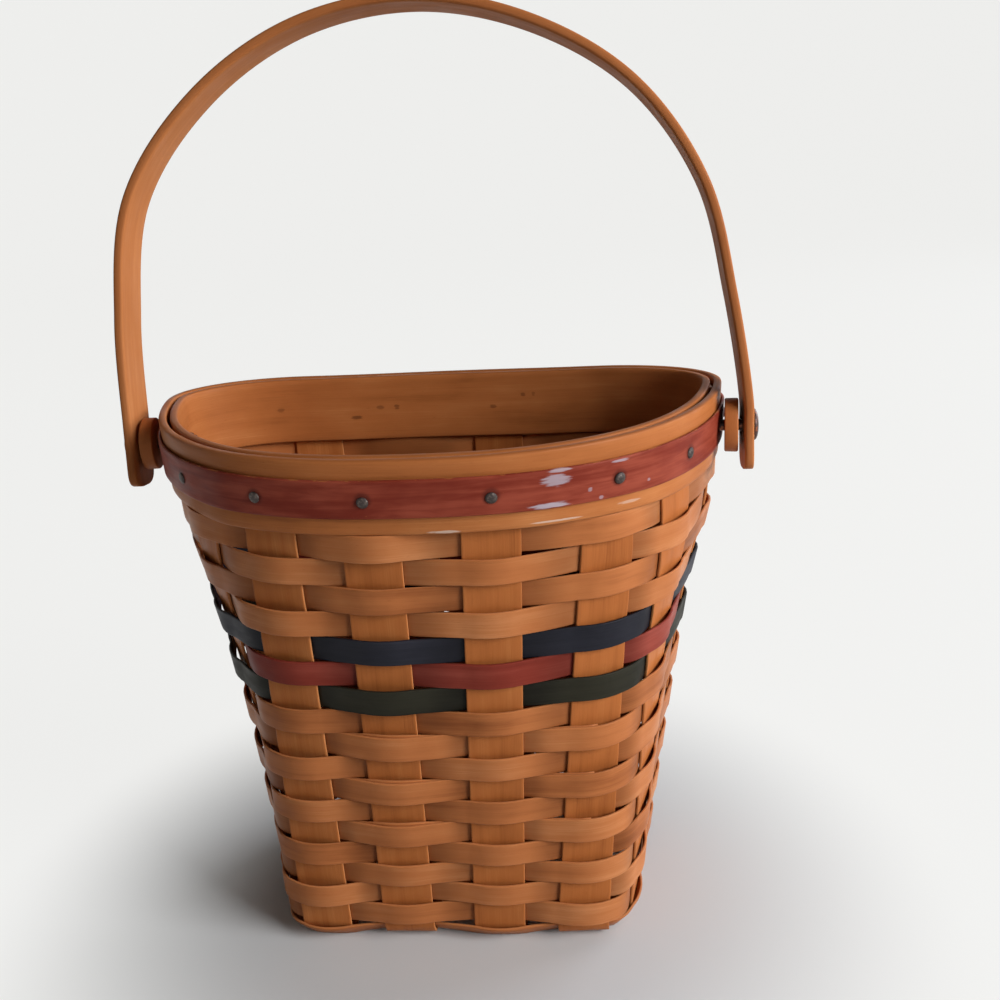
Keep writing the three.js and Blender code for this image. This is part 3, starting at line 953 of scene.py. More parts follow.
PAINT = PaintedFinish("painted_strip", BAND, dark=colour(116, 41, 27), faded=colour(148, 68, 49),
                      scuff=colour(180, 172, 180), scuffs=SMEARS)
OUTER_BAND = replace(BAND, name="outer_band_wood", mark_colour=colour(222, 206, 190), marks=(
    Scuff(11.1 * MM, -11.7 * MM, 5.2 * MM, 0.5 * MM, 0.6),
    Scuff(46.7 * MM, -11.2 * MM, 10 * MM, 0.35 * MM, 0.5),
    Scuff(72 * MM, -9.5 * MM, 4 * MM, 0.5 * MM, 0.3)))
INNER_BAND = replace(BAND, name="inner_band_wood", mark_colour=colour(74, 40, 21), marks=(
    Scuff(67 * MM, 0.8 * MM, 1.5 * MM, 1.1 * MM, 0.35),
    Scuff(37 * MM, -3.4 * MM, 2.2 * MM, 0.9 * MM, 0.6),
    Scuff(27 * MM, 0.4 * MM, 1.6 * MM, 0.9 * MM, 0.42),
    Scuff(20.5 * MM, 0.3 * MM, 1.2 * MM, 1.0 * MM, 0.5),
    Scuff(-17.5 * MM, -0.8 * MM, 1.4 * MM, 0.8 * MM, 0.5),
    Scuff(-29.5 * MM, 3.6 * MM, 1.0 * MM, 0.9 * MM, 0.5),
    Scuff(-33.5 * MM, 3.8 * MM, 0.7 * MM, 0.8 * MM, 0.4)))
TACK_STEEL = MetalFinish("tack_steel", colour(98, 88, 82), colour(52, 42, 38), roughness=0.5,
                         tarnished=0.6, scale=620, pitted=0.02 * MM)
DARK_COPPER = MetalFinish("rivet_copper", colour(150, 92, 66), colour(62, 38, 30), roughness=0.36,
                          tarnished=0.8, scale=420, pitted=0.06 * MM)


# Sub-assemblies


def heights(node: str) -> tuple[float, float]:
    """Lowest and highest level of a CAD node, in metres."""
    low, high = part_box(node)
    return low.z, high.z


def anywhere(rng: np.random.Generator) -> tuple[float, float]:
    """A random offset of a strip's unbent coordinates, so that no two share a grain."""
    return rng.uniform(0, 40), rng.uniform(0, 40)


def eased(values: np.ndarray, steps: int) -> np.ndarray:
    """Smooth a row of values with a bell over an odd number of steps, and hold its ends."""
    bell = np.hanning(steps)
    return np.convolve(np.pad(values, steps // 2, mode="edge"), bell / bell.sum(), mode="valid")


def dress(piece: Piece, material: bpy.types.Material, node: str,
          body: str = BASKET) -> Piece:
    """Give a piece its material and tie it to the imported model.

    Args:
        piece: The piece.
        material: Its material.
        node: The CAD node that it replaces.
        body: The body that it moves with.

    Returns:
        The piece.
    """
    piece.data.materials.append(material)
    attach(piece, body)
    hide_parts(node)
    return piece


@dataclass
class Weave:
    """The rings of flat weaver, each a strip lapped on itself.

    Attributes:
        wall: The wall surface.
        thick: Thickness of a weaver.
        shrink: How much narrower than its row's space a weaver is.
        touch: Offset of a weaver at an upright's edges.
        bow: How much further out it bows in the middle of an upright.
        flatter: By what share it bows less on the flat back.
        rows: Number of rings on the wall, without the one that is turned under.
        dyes: Rows that are dyed.
        front_laps: Rows whose lap lies on the front.
        front_lap_start: Upright where those laps start.
        lap_length: How many uprights a lap passes.
        lap_ease: How far past an upright a lap eases in or out, as a share of a space.
        lap_rise: How far a strip's last stretch rises out of its row.
        back_press: How much taller half a weaver is where the rows lie tight.
        rounding: Radius along a weaver's edges.
        seed: Seed of the hand-made unevenness.
    """

    wall: Wall
    thick: float = 0.9 * MM
    shrink: float = -0.2 * MM
    touch: float = 1.05 * MM
    bow: float = 1.35 * MM
    flatter: float = 0.6
    rows: int = 17
    dyes: dict[int, Dye] = field(default_factory=lambda: {5: Dye.NAVY, 6: Dye.RED, 7: Dye.GREEN})
    front_laps: tuple[int, ...] = (9, 11, 13)
    front_lap_start: int = 2
    lap_length: int = 3
    lap_ease: float = 0.6
    lap_rise: float = 0.9 * MM
    back_press: float = 0.38 * MM
    rounding: float = 0.22 * MM
    seed: int = 7

    BACK_START = (7.2, 8.0)
    BACK_END = (11.0, 11.8)
    LEFT_END = (12.4, 12.9)
    STEPS = (6, 8)
    FOOT_BENDS = (72, 60, 47, 34, 21, 8)

    def side(self, number: np.ndarray, row: int) -> np.ndarray:
        """Which side of uprights a row runs on: 1 outside and -1 inside."""
        return np.where((number + row) % 2 == 0, 1.0, -1.0)

    def behind(self, place: np.ndarray, end: tuple[float, float]) -> np.ndarray:
        """Share of the back at places round the wall.

        Args:
            place: Places round the wall.
            end: Between which places it fades out on the left.

        Returns:
            1 on the back and 0 on the front.
        """
        round_by = np.mod(place - 1, self.wall.COUNT) + 1
        return smooth(*self.BACK_START, round_by) * (1 - smooth(*end, round_by))

    def offset(self, place: np.ndarray, row: int, touch: np.ndarray) -> np.ndarray:
        """Distance of a weaver from the middle of the uprights.

        Args:
            place: Places round the wall.
            row: The row's number, from the rim down.
            touch: The offset at the uprights' edges.

        Returns:
            Offsets, positive outwards.
        """
        reach = self.wall.REACH
        number = np.round(place)
        d = place - number
        own = self.side(number, row)
        bow = self.bow * (1 - self.flatter * self.behind(place, self.BACK_END))
        on = own * (touch + bow * (1 - (d / reach) ** 2))
        start = np.where(d > 0, number, number - 1)
        t = (place - start - reach) / (1 - 2 * reach)
        first = self.side(start, row)
        slope = 2 * bow / reach * (1 - 2 * reach)
        h = (2 * t ** 3 - 3 * t ** 2 + 1) - (3 * t ** 2 - 2 * t ** 3)
        bend = (t ** 3 - 2 * t ** 2 + t) + (t ** 3 - t ** 2)
        between = first * (touch * h - 0.5 * slope * bend)
        return np.where(np.abs(d) <= reach, on, between)

    def lap_start(self, row: int) -> int:
        """Upright behind which a row's strip starts."""
        if row in self.front_laps:
            return self.front_lap_start
        return (8 if row % 2 else 7) + 2 * ((row * 5) % 3)

    def drift(self, place: np.ndarray, row: int) -> np.ndarray:
        """Gentle rise and fall of the rows, which neighbours share.

        Args:
            place: Places round the wall.
            row: The row's number.

        Returns:
            Heights to add.
        """
        turn = 2 * math.pi * place / self.wall.COUNT
        return MM * (0.35 * np.sin(turn + 0.31 * row + 0.4) + 0.25 * np.sin(3 * turn - 0.22 * row)
                     + 0.12 * np.sin(7 * turn + 0.5 * row))

    def row_strip(self, row: int, rng: np.random.Generator) -> Piece:
        """Build one ring.

        Args:
            row: The row's number.
            rng: Source of its unevenness.

        Returns:
            The new object.
        """
        node = f"weaver_{row:02d}"
        low, high = heights(node)
        count, lap, ease = self.wall.COUNT, self.lap_length, self.lap_ease
        start = self.lap_start(row)
        place = self.wall.stations(start, start + count + lap, *self.STEPS)
        passed = place - start
        first, last = 1 - smooth(lap, lap + ease, passed), smooth(count - ease, count, passed)
        touch = self.touch + (first + last) * self.thick / 2
        offset = self.offset(place, row, touch) + (first - last) * self.thick * 0.52
        shrink = self.shrink + rng.uniform(0, 0.3) * MM
        middle = (low + high) / 2 + self.drift(place, row) + rng.uniform(-0.1, 0.1) * MM
        over = passed - count
        middle = middle + self.lap_rise * smooth(0.6, 0.9, over) * (1 - smooth(1.1, 1.4, over))
        half = (high - low - shrink) / 2 + 0.12 * MM * np.sin(place * 1.7 + row)
        half = half + self.back_press * self.behind(place, self.LEFT_END)
        z = middle[:, None] + half[:, None] * np.array([-1.0, 0.0, 1.0])
        cup = np.array([0.0, 0.12, 0.0]) * MM
        lines = self.wall.points(place[:, None], z, offset[:, None] + cup)
        tone = rng.uniform(-0.09, 0.09) + 0.05 * np.sin(place * 2.1 + row * 1.3)
        # Painted shade, with grime: a weaver darkens where it turns in behind an upright and stays dark
        # while it passes behind.
        grime_and_shade = 0.42 * smooth(0.9 * MM, -0.6 * MM, offset)
        ribbon = Ribbon(lines, self.thick, self.rounding, False, high - low)
        return ribbon.build(node + "_strip", np.column_stack([tone, grime_and_shade]), anywhere(rng))

    def build(self) -> list[Piece]:
        """Build and dress every ring on the wall.

        Returns:
            The new objects.
        """
        rng = np.random.default_rng(self.seed)
        finishes = {dye: DYED[dye].material() for dye in Dye}
        made = []
        for row in range(1, self.rows + 1):
            dye = self.dyes.get(row, Dye.NATURAL)
            piece = self.row_strip(row, rng)
            made.append(dress(piece, finishes[dye], f"weaver_{row:02d}"))
            log.info("weaver row %d, %s", row, dye.value)
        made.append(self.turned_under(finishes[Dye.NATURAL], rng))
        return made

    def turned_under(self, finish: bpy.types.Material, rng: np.random.Generator
                     ) -> Piece:
        """Build the last ring, which follows the uprights round the bend.

        Args:
            finish: Its material.
            rng: Source of its unevenness.

        Returns:
            The new object.
        """
        row = self.rows + 1
        node = f"weaver_{row:02d}"
        place = self.wall.stations(0.5, 0.5 + self.wall.COUNT, *self.STEPS)[:-1]
        offset = self.offset(place, row, np.full(len(place), self.touch))
        level = np.full(len(place), self.wall.foot_z)
        foot, out = self.wall.points(place, level, 0.0), self.wall.normal(place, level)
        lines = []
        for bend in np.radians(self.FOOT_BENDS):
            point = foot - out * Base.bend_radius * (1 - math.cos(bend))
            height = self.wall.foot_z - Base.bend_radius * math.sin(bend)
            point[:, 2] = height
            away = out * math.cos(bend) - np.array([0, 0, math.sin(bend)])
            above_floor = height / math.sin(bend) - self.thick / 2
            lines.append(point + away * np.minimum(offset, above_floor)[:, None])
        ribbon = Ribbon(np.stack(lines, axis=1), self.thick, self.rounding, True, 7.8 * MM)
        # A slightly darker tone, and grime with painted shade, all round the ring under the bend.
        look = np.tile([-0.06, 0.1], (len(place), 1))
        piece = ribbon.build(node + "_strip", look, anywhere(rng))
        log.info("weaver row %d, turned under", row)
        return dress(piece, finish, node)


@dataclass
class Base:
    """The long splints: up one wall, under the base and up the other wall.

    Attributes:
        wall: The wall surface.
        weave: The rings, whose push and pull flexes the uprights.
        thick: Thickness of a splint.
        gap: Clearance between splints that cross.
        drop: How far below the rim the splints end.
        flex: How far an upright bends between rows.
        margin: How far past a crossing a splint stays level.
        pairs: The two uprights that each splint ends in, by node name.
    """

    wall: Wall
    weave: Weave
    thick: float = 1.0 * MM
    gap: float = 0.3 * MM
    drop: float = 1.0 * MM
    flex: float = 0.22 * MM
    margin: float = 1.9 * MM
    pairs: dict[str, tuple[int, int]] = field(default_factory=lambda: {
        "splint_front_back_1": (2, 11), "splint_front_back_2": (3, 10),
        "splint_front_back_3": (4, 9), "splint_front_back_4": (5, 8),
        "splint_side_front": (1, 6), "splint_side_rear": (12, 7)})

    bend_radius = 7.5 * MM
    LONG = "splint_front_back"
    LINES = np.array([-1.0, -0.5, 0.0, 0.5, 1.0])
    WALL_STOPS = 88
    BEND_STOPS = 9
    BASE_STOPS = 62

    def flexed(self, number: int, z: np.ndarray) -> np.ndarray:
        """How far an upright lies outside its middle surface at heights.

        Args:
            number: The upright's number.
            z: Heights.

        Returns:
            Offsets, positive outwards.
        """
        rows = np.arange(1, self.weave.rows + 1)
        mids = np.array([sum(heights(f"weaver_{r:02d}")) / 2 for r in rows])
        push = -self.flex * np.array([float(self.weave.side(np.array(number), r)) for r in rows])
        order = np.argsort(mids)
        fine = np.linspace(self.wall.foot_z, self.wall.rim_z, 400)
        coarse = np.interp(fine, mids[order], push[order], left=0, right=0)
        return np.interp(z, fine, eased(coarse, 13))

    def side_lines(self, number: int, flip: int, z: np.ndarray) -> np.ndarray:
        """Lines up the wall along an upright.

        Args:
            number: The upright's number.
            flip: 1 to count the lines with the numbers, -1 against them.
            z: Heights.

        Returns:
            Points: heights, lines, and X, Y, Z.
        """
        place = number + flip * self.wall.REACH * self.LINES
        offset = self.flexed(number, z)
        return self.wall.points(place[None, :], z[:, None], offset[:, None])

    def level(self, node: str, crossed: str) -> float:
        """Whether a splint passes under (-1) or over (1) another."""
        order = list(self.pairs)
        even = (order.index(node) + order.index(crossed)) % 2 == 0
        return -1.0 if even == node.startswith(self.LONG) else 1.0

    def feet(self, node: str) -> tuple[np.ndarray, np.ndarray]:
        """Where a splint's lines meet the two feet of the wall."""
        start, end = self.pairs[node]
        z = np.array([self.wall.foot_z])
        return self.side_lines(start, 1, z)[0], self.side_lines(end, -1, z)[0]

    def crossings(self, node: str) -> list[tuple[float, float]]:
        """Shares of the way across the base where others cross, with this splint's level."""
        start, end = (p[2, :2] for p in self.feet(node))
        found = []
        for other in self.pairs:
            if other.startswith(self.LONG) == node.startswith(self.LONG):
                continue
            a, b = (p[2, :2] for p in self.feet(other))
            d, e, f = end - start, b - a, a - start
            share = (f[0] * e[1] - f[1] * e[0]) / (d[0] * e[1] - d[1] * e[0])
            found.append((float(share), self.level(node, other)))
        return sorted(found)

    def bend_lines(self, foot: np.ndarray, inward: np.ndarray) -> np.ndarray:
        """Lines of the quarter bend from a foot of the wall down to the base.

        Args:
            foot: Points of the lines at the foot.
            inward: Unit vectors from there towards the splint's other foot.

        Returns:
            Points: stops, lines, and X, Y, Z, without the foot itself.
        """
        bends = np.radians(np.linspace(0, 90, self.BEND_STOPS)[1:])[:, None, None]
        down = np.array([0, 0, self.bend_radius])
        return foot + inward * self.bend_radius * (1 - np.cos(bends)) - down * np.sin(bends)

    def lines_of(self, node: str) -> np.ndarray:
        """The whole path of a splint's lines.

        Args:
            node: The splint's node.

        Returns:
            Points: stops, lines, and X, Y, Z.
        """
        start, end = self.pairs[node]
        foot_a, foot_b = self.feet(node)
        top = self.wall.rim_z - self.drop
        up = np.linspace(self.wall.foot_z, top, self.WALL_STOPS)
        offset_level = (self.thick + self.gap) / 2
        rest = self.wall.foot_z - self.bend_radius
        inward = foot_b - foot_a
        inward[:, 2] = 0
        span = np.linalg.norm(inward, axis=1)[:, None]
        inward /= span
        share = np.linspace(0, 1, self.BASE_STOPS)[1:-1]
        width = float(span.mean())
        flat = (self.wall.splint_width / 2 + self.margin) / width
        knots, levels = [self.bend_radius / width], [0.0]
        for at, side in self.crossings(node):
            knots.extend([at - flat, at + flat])
            levels.extend([side, side])
        knots.append(1 - self.bend_radius / width)
        levels.append(0.0)
        fine = np.linspace(0, 1, 600)
        run = self.bend_radius / width + share * (1 - 2 * self.bend_radius / width)
        height = rest + offset_level * np.interp(run, fine, eased(np.interp(fine, knots, levels), 41))
        across = foot_a[None] + (foot_b - foot_a)[None] * run[:, None, None]
        across[..., 2] = height[:, None]
        return np.concatenate([
            self.side_lines(start, 1, up[::-1]), self.bend_lines(foot_a, inward), across,
            self.bend_lines(foot_b, -inward)[::-1], self.side_lines(end, -1, up)])

    def build(self) -> list[Piece]:
        """Build and dress the six long splints.

        Returns:
            The new objects.
        """
        rng = np.random.default_rng(self.weave.seed + 1)
        finish = UPRIGHT.material()
        made = []
        for node in self.pairs:
            lines = self.lines_of(node)
            ribbon = Ribbon(lines, self.thick, 0.25 * MM, False, self.wall.splint_width)
            phase = rng.uniform(0, 6)
            tone = rng.uniform(-0.08, 0.08) + 0.03 * np.sin(lines[:, 2, 2] * 60 + phase)
            look = np.column_stack([tone, np.zeros(len(lines))])
            piece = ribbon.build(node + "_strip", look, anywhere(rng))
            made.append(dress(piece, finish, node))
            log.info("long splint %s", node)
        return made


@dataclass
class Rim:
    """The inner and outer bands, the painted strip and its tacks.

    Attributes:
        wall: The wall surface.
        band_inner: Offset of the bands' faces that look at the uprights.
        band_thick: Thickness of a band.
        band_rounding: Radius along a band's edges.
        strip_thick: Thickness of the painted strip.
        strip_rounding: Radius along its edges.
        gap: Clearance between band and strip.
        tack_radius: Radius of a tack's head.
        tack_height: How far a tack's head stands up.
        shank: Length of a tack's shank.
        shank_radius: Radius of that shank.
    """

    wall: Wall
    band_inner: float = 0.62 * MM
    band_thick: float = 2.78 * MM
    band_rounding: float = 0.75 * MM
    strip_thick: float = 1.2 * MM
    strip_rounding: float = 0.45 * MM
    gap: float = 0.3 * MM
    tack_radius: float = 1.9 * MM
    tack_height: float = 0.9 * MM
    shank: float = 3 * MM
    shank_radius: float = 0.55 * MM

    BACK = 9.5
    FRONT = 3.5

    def ring(self, name: str, node: str, offset: float, thick: float, rounding: float, start: float,
             material: bpy.types.Material, slot: str) -> Piece:
        """Build and dress one ring round the rim.

        Its coordinates are measured from the middle of the front or, if it starts in front, of
        the back.

        Args:
            name: Name of the piece.
            node: The CAD node that it stands for.
            offset: Offset of its middle.
            thick: Its thickness.
            rounding: Radius along its edges.
            start: Place where it starts.
            material: Its material.
            slot: The record's name for that material; not used.

        Returns:
            The new object.
        """
        low, high = heights(node)
        count = self.wall.COUNT
        place = self.wall.stations(start, start + count, 10, 12)[:-1]
        turn = 2 * math.pi * (place - start) / count
        sway = MM * 0.12 * np.sin(5 * turn + offset / MM)
        z = np.linspace(low, high, 3)[None, :] + sway[:, None] * 0.6
        lines = self.wall.points(place[:, None], z, offset + sway[:, None])
        steps = np.linalg.norm(np.diff(lines.mean(axis=1), axis=0), axis=1)
        run = np.concatenate([[0], np.cumsum(steps)])
        way = 0.0 if start == self.BACK else 0.5
        facing = float(np.interp(way, self.wall.rim_knots[1], self.wall.rim_knots[0]))
        middle = float(np.interp(facing if facing > start else facing + count, place, run))
        numbers = np.arange(1, count + 1)
        self.uprights = np.interp(np.where(numbers < start, numbers + count, numbers), place, run) - middle
        look = np.column_stack([0.02 * np.sin(3 * turn + thick / MM), np.zeros(len(place))])
        piece = Ribbon(lines, thick, rounding, True, high - low).build(name, look, (-middle, 0))
        log.info("rim ring %s", name)
        return dress(piece, material, node)

    def mark_tacks(self, strip: Piece) -> None:
        """Store each corner's way to its nearest tack on the painted strip."""
        mesh = strip.data
        rows = np.zeros(len(mesh.loops) * 3, np.float32)
        mesh.attributes["grain"].data.foreach_get("vector", rows)
        rows = rows.reshape(-1, 4, 3)
        gaps = rows[:, :, 0].mean(axis=1)[:, None] - self.uprights[None, :]
        nearest = self.uprights[np.argmin(np.abs(gaps), axis=1)]
        way = np.stack([rows[..., 0] - nearest[:, None], rows[..., 1], np.zeros(rows.shape[:2])], axis=-1)
        store(mesh, "tack", "CORNER", way)

    def build(self) -> list[Piece]:
        """Build and dress the bands, the strip and the tacks.

        Returns:
            The new objects.
        """
        middle = self.band_inner + self.band_thick / 2
        strip_inner = self.band_inner + self.band_thick + self.gap
        inner = self.ring("inner_band_strip", "inner_band", -middle, self.band_thick,
                          self.band_rounding, self.FRONT, INNER_BAND.material(), BAND.name)
        outer = self.ring("outer_band_strip", "outer_band", middle, self.band_thick,
                          self.band_rounding, self.BACK, OUTER_BAND.material(), BAND.name)
        strip = self.ring("painted_strip", "trim_strip", strip_inner + self.strip_thick / 2,
                          self.strip_thick, self.strip_rounding, self.BACK, PAINT.material(), PAINT.name)
        self.mark_tacks(strip)
        return [inner, outer, strip] + self.tacks(strip_inner + self.strip_thick)

    def tacks(self, seat: float) -> list[Piece]:
        """Build and dress one tack at each upright.

        Args:
            seat: Offset of the painted strip's outer face.

        Returns:
            The new objects.
        """
        finish = TACK_STEEL.material()
        low, high = heights("trim_strip")
        middle = np.array([(low + high) / 2])
        r, h, shank, under = self.tack_radius, self.tack_height, self.shank_radius, seat + 0.02 * MM
        profile = np.array([
            (0, seat - self.shank), (shank, seat - self.shank), (shank, under), (0.93 * r, under),
            (r, seat + 0.1 * h), *dome(r, seat, h, 0.25, (5, 25, 45, 60, 75)), (0, seat + h)])
        made = []
        for number in range(1, self.wall.COUNT + 1):
            place = np.array([float(number)])
            axis = Vector(self.wall.normal(place, middle)[0])
            rise = self.wall.points(place, np.array([high]), seat)[0] - self.wall.points(
                place, np.array([low]), seat)[0]
            lean = Vector(rise).normalized()
            axis = (axis - lean * axis.dot(lean)).normalized()
            origin = Vector(self.wall.points(place, middle, 0.0)[0])
            node = f"tack_{number:02d}"
            piece = turned(node + "_head", profile, 20, origin, axis)
            made.append(dress(piece, finish, node))
        log.info("%d tacks", len(made))
        return made


@dataclass
class SwingHandle:
    """The bent-wood handle, its spacers, rivets and washers.

    Attributes:
        width: Width of the strip.
        thick: Thickness of the strip.
        rise: Height of the crown's underside above the pivot.
        leg_rise: How far the legs run straight.
        tail: How far the legs run on below the pivot.
        tail_corner: Height of the rounding at the end of a leg.
        bend: How the strip is bent from the right leg to the left, as shares of the half width
            between the legs and of the rise.
        lean: Angle that it leans back at rest, in degrees.
        spacer_radius: Radius of a spacer.
        spacer_thick: Thickness of a spacer.
        spacer_turn: How far a spacer is turned with the slant of the rim, in degrees.
        gap: Clearance between the pieces on a rivet.
        head_radius: Radius of a rivet's head.
        head_height: How far a rivet's head stands up.
        shank_radius: Radius of a rivet.
        tail_radius: Radius of a rivet's inner end.
        washer_radius: Radius of a washer.
        pivot: Middle of the hinge.
    """

    width: float = 19 * MM
    thick: float = 3.2 * MM
    rise: float = 145.6 * MM
    leg_rise: float = 8 * MM
    tail: float = 15.5 * MM
    tail_corner: float = 7 * MM
    bend: tuple[tuple[float, float], ...] = (
        (0.952, 0.309), (0.867, 0.575), (0.66, 0.798), (0.353, 0.94), (0, 1),
        (-0.363, 0.959), (-0.686, 0.817), (-0.925, 0.593), (-0.993, 0.309))
    lean: float = 8.0
    spacer_radius: float = 9.5 * MM
    spacer_thick: float = 4.8 * MM
    spacer_turn: float = 6.0
    gap: float = 0.3 * MM
    head_radius: float = 5.7 * MM
    head_height: float = 2.2 * MM
    shank_radius: float = 2.0 * MM
    tail_radius: float = 2.6 * MM
    washer_radius: float = 3.6 * MM
    pivot: Vector = field(default_factory=lambda: Vector(frame["joints"][0]["pos_m"]))

    def __post_init__(self) -> None:
        """Take the legs' place from the spacers of the frame."""
        self.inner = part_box("spacer_right")[1].x + self.gap

    def arch(self) -> tuple[np.ndarray, np.ndarray, np.ndarray]:
        """The strip's way from the right tail over the crown to the left tail.

        Returns:
            X and height of the inner face, outward normals in that plane, and half widths.
        """
        half, power = self.width / 2, 2 / 3
        tail = []
        for degrees in (9, 16, 26, 38, 50, 62, 74, 83, 90):
            a = math.radians(degrees)
            up = self.tail_corner * (1 - max(math.cos(a), 0.0) ** power) - self.tail
            tail.append((self.inner, up, half * math.sin(a) ** power))
        leg = [(1.0, 0.0), (1.0, self.leg_rise / self.rise)]
        knots = np.array([*leg, *self.bend, *((-x, up) for x, up in leg[::-1])])
        way = flowing(knots * [self.inner, self.rise], 18)
        right = np.array(tail)
        left = right[::-1] * [-1, 1, 1]
        widths = np.concatenate([right[:, 2], np.full(len(way), half), left[:, 2]])
        way = np.vstack([right[:, :2], way, left[:, :2]])
        ahead = np.gradient(way, axis=0)
        normal = np.column_stack([ahead[:, 1], -ahead[:, 0]])
        return way, normal / np.linalg.norm(normal, axis=1)[:, None], widths

    def build(self) -> list[Piece]:
        """Build and dress the handle and what it turns on.

        Returns:
            The new objects.
        """
        way, normal, half = self.arch()
        middle = way + normal * self.thick / 2
        across = np.array([1.0, 0.5, 0.0, -0.5, -1.0])
        lines = np.zeros((len(way), len(across), 3))
        lines[..., 0] = middle[:, 0][:, None]
        lines[..., 1] = half[:, None] * across[None, :]
        lines[..., 2] = middle[:, 1][:, None]
        run = np.linspace(0, 1, len(way))
        tone = 0.05 * np.sin(run * 9 + 1) + 0.03 * np.sin(run * 23)
        look = np.column_stack([tone, np.zeros(len(way))])
        handle = Ribbon(lines, self.thick, 0.85 * MM, False, self.width).build(
            "bent_handle", look, (3.1, 0.7))
        turn = Matrix.Rotation(-math.radians(self.lean), 4, "X")
        handle.data.transform(Matrix.Translation(self.pivot) @ turn)
        made = [dress(handle, BENT.material(), "handle", HANDLE)]
        log.info("handle")
        disc, copper = DISC.material(), DARK_COPPER.material()
        for side in Side:
            made.extend(self.pivot_set(side, disc, copper))
        return made

    def pivot_set(self, side: Side, disc: bpy.types.Material, copper: bpy.types.Material
                  ) -> list[Piece]:
        """Build and dress the spacer, rivet and washer of one side.

        Args:
            side: Which end of the handle.
            disc: Material of the spacer.
            copper: Material of the rivet and washer.

        Returns:
            The new objects.
        """
        name = side.name.lower()
        axis = Vector((side.value, 0, 0))
        origin = Vector((0, self.pivot.y, self.pivot.z))
        low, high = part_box(f"spacer_{name}")
        slant = math.radians(self.spacer_turn)
        puck = rounded_disc(self.spacer_radius, -self.spacer_thick / 2, self.spacer_thick / 2, 0.7 * MM)
        spacer = turned(f"spacer_{name}_disc", puck, 56, (low + high) / 2,
                        Vector((side.value * math.cos(slant), -math.sin(slant), 0)))
        store(spacer.data, "look", "POINT", np.zeros((len(spacer.data.vertices), 3)))
        washer_low, washer_high = sorted(side.value * corner.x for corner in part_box(f"washer_{name}"))
        washer = turned(f"washer_{name}_ring", rounded_disc(
            self.washer_radius, washer_low, washer_high, 0.3 * MM), 32, origin, axis)
        end = washer_low - self.gap - 1.5 * MM
        seat = self.inner + self.thick + self.gap
        r, h = self.head_radius, self.head_height
        profile = np.array([
            (0, end - 0.3 * MM), (0.6 * self.tail_radius, end), (self.tail_radius, end + 0.5 * MM),
            (self.tail_radius, end + 1.3 * MM), (self.shank_radius, end + 1.5 * MM),
            (self.shank_radius, seat), (r * 0.97, seat), (r, seat + 0.1 * h),
            *dome(r, seat, h, 0.3, (0, 20, 40, 55, 70, 80)), (0, seat + h)])
        rivet = turned(f"rivet_{name}_dome", profile, 40, origin, axis)
        log.info("pivot, %s", name)
        return [dress(spacer, disc, f"spacer_{name}"),
                dress(rivet, copper, f"rivet_{name}"),
                dress(washer, copper, f"washer_{name}")]


@dataclass(frozen=True)
class Lamp:
    """A square soft lamp that looks at the basket.

    Attributes:
        name: Name of the lamp.
        place: Where it hangs.
        size: Its side.
        power: Its power in watts.
        tint: Its colour.
    """

    name: str
    place: tuple[float, float, float]
    size: float
    power: float
    tint: tuple[float, float, float]

    AIM = (0, 0, 0.15)

    def hang(self) -> None:
        """Add the lamp to the scene."""
        data = bpy.data.lights.new(self.name, "AREA")
        data.shape = "SQUARE"
        data.size = self.size
        data.energy = self.power
        data.color = self.tint
        lamp = linked(self.name, data)
        lamp.location = self.place
        aim = Vector(self.AIM) - Vector(self.place)
        lamp.rotation_euler = aim.to_track_quat("-Z", "Y").to_euler()


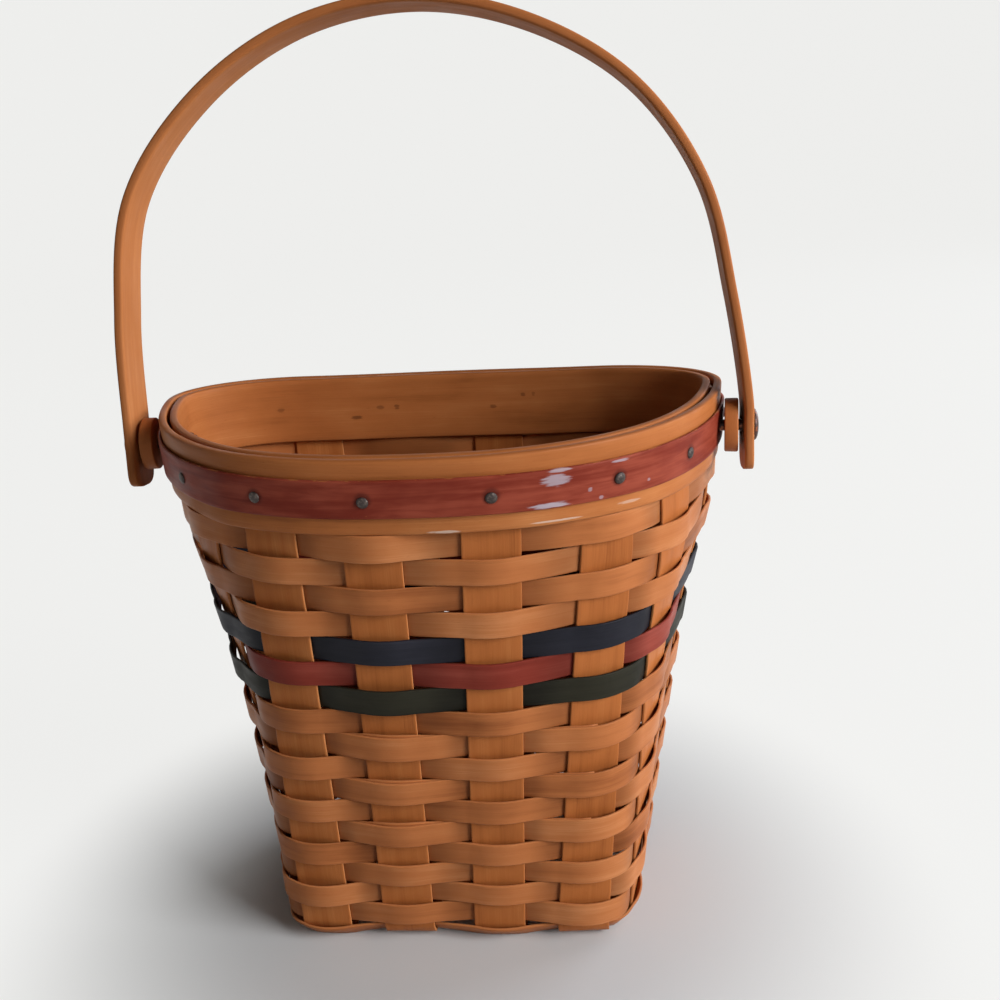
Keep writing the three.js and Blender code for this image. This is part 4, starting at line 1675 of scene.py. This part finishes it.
@dataclass
class Studio:
    """Pale floor that curves up, soft lamps and the camera.

    Attributes:
        position: Where the camera stands.
        yaw: Its turn about the upright axis, in degrees.
        pitch: How far it looks up, in degrees.
        roll: Its turn about its own axis, in degrees.
        lens: Focal length for a sensor of 36 mm.
        floor_radius: How far the floor and its upward curve reach.
        floor_bend: Radius of that curve.
        wall_height: How high the curve rises.
        lift: How far the floor's own colour stands in for its lighting where it is looked at.
        lamps: The lamps.
        world_strength: Strength of the even light from all round.
    """

    position: tuple[float, float, float] = (0.06, -0.3976, 0.3008)
    yaw: float = 5.31
    pitch: float = -18.82
    roll: float = -3.27
    lens: float = 42.72
    floor_radius: float = 3.2
    floor_bend: float = 1.2
    wall_height: float = 2.4
    lift: float = 0.9
    lamps: tuple[Lamp, ...] = (
        Lamp("key", (1.45, -0.75, 0.85), 0.9, 39, (0.97, 0.99, 1.03)),
        Lamp("fill", (-1.0, -1.5, 1.0), 1.4, 0.2, (1.0, 0.93, 0.86)),
        Lamp("rear", (1.3, 1.0, 0.8), 1.2, 13, (0.92, 0.97, 1.1)))
    world_strength: float = 0.06

    FLOOR_SIDES = 96

    def backdrop(self) -> Piece:
        """Build the floor and its upward curve as one dish.

        Returns:
            The new object.
        """
        radius, bend, sides = self.floor_radius, self.floor_bend, self.FLOOR_SIDES
        rows = [(0.0, 0.0)] + [(r, 0.0) for r in (0.4, 0.8, 1.4, radius - bend)]
        for degrees in range(10, 91, 10):
            a = math.radians(degrees)
            rows.append((radius - bend + bend * math.sin(a), bend * (1 - math.cos(a))))
        rows.append((radius, self.wall_height))
        points, faces = [(0.0, 0.0, 0.0)], []
        for r, z in rows[1:]:
            for j in range(sides):
                a = 2 * math.pi * j / sides
                points.append((r * math.cos(a), r * math.sin(a), z))
        for j in range(sides):
            j1 = (j + 1) % sides
            faces.append((0, 1 + j, 1 + j1))
            for i in range(len(rows) - 2):
                a, b = 1 + i * sides, 1 + (i + 1) * sides
                faces.append((a + j, b + j, b + j1, a + j1))
        mesh = bpy.data.meshes.new("floor")
        mesh.from_pydata(points, [], faces)
        mesh.polygons.foreach_set("use_smooth", np.ones(len(faces), bool))
        floor = linked("floor", mesh)
        mesh.materials.append(self.pale())
        return floor

    def pale(self) -> bpy.types.Material:
        """The floor's finish: matt, and lifted towards white where the camera or gloss looks."""
        tree = Tree("pale_floor")
        tree.shader.inputs["Base Color"].default_value = colour(206, 206, 204)
        tree.shader.inputs["Roughness"].default_value = 0.9
        tree.shader.inputs["Specular IOR Level"].default_value = 0.2
        glow = tree.nodes.new("ShaderNodeEmission")
        glow.inputs["Color"].default_value = colour(247, 247, 245)
        both = tree.nodes.new("ShaderNodeMixShader")
        ray = tree.nodes.new("ShaderNodeLightPath")
        seen = tree.math("MAXIMUM", ray.outputs["Is Camera Ray"], tree.math(
            "MAXIMUM", ray.outputs["Is Glossy Ray"], ray.outputs["Is Transmission Ray"]))
        far = tree.distance(tree.nodes.new("ShaderNodeTexCoord").outputs["Object"])
        lift = tree.ease(far, 0.07, 0.2, 0.0, self.lift)
        tree.put(both.inputs[0], tree.times(seen, lift))
        tree.links.new(tree.shader.outputs[0], both.inputs[1])
        tree.links.new(glow.outputs[0], both.inputs[2])
        tree.links.new(both.outputs[0], tree.output.inputs[0])
        return tree.material

    def camera(self) -> None:
        """Set the camera at the photograph's angle."""
        data = bpy.data.cameras.new("camera")
        data.sensor_width = 36.0
        data.lens = self.lens
        data.clip_start = 0.01
        camera = linked("camera", data)
        turn = (Euler((0, 0, math.radians(self.yaw))).to_matrix()
                @ Euler((math.radians(90 + self.pitch), 0, 0)).to_matrix()
                @ Euler((0, 0, math.radians(self.roll))).to_matrix())
        camera.matrix_world = Matrix.Translation(self.position) @ turn.to_4x4()
        bpy.context.scene.camera = camera

    def build(self) -> None:
        """Set the stage, the lamps, the world and the camera."""
        self.backdrop()
        for lamp in self.lamps:
            lamp.hang()
        world = bpy.data.worlds.new("world")
        world.use_nodes = True
        back = world.node_tree.nodes["Background"]
        back.inputs[0].default_value = colour(246, 237, 226)
        back.inputs[1].default_value = self.world_strength
        bpy.context.scene.world = world
        bpy.context.scene.view_settings.view_transform = "Standard"
        self.camera()


def main() -> None:
    """Build the basket, its rim and handle, and the studio round them."""
    logging.basicConfig(level=logging.INFO, format="%(message)s")
    strip_outer = Rim.band_inner + Rim.band_thick + Rim.gap + Rim.strip_thick
    wall = Wall(shift_y=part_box("trim_strip")[1].y - strip_outer)
    weave = Weave(wall)
    weave.build()
    Base(wall, weave).build()
    Rim(wall).build()
    SwingHandle().build()
    Studio().build()


if __name__ == "__main__":
    main()
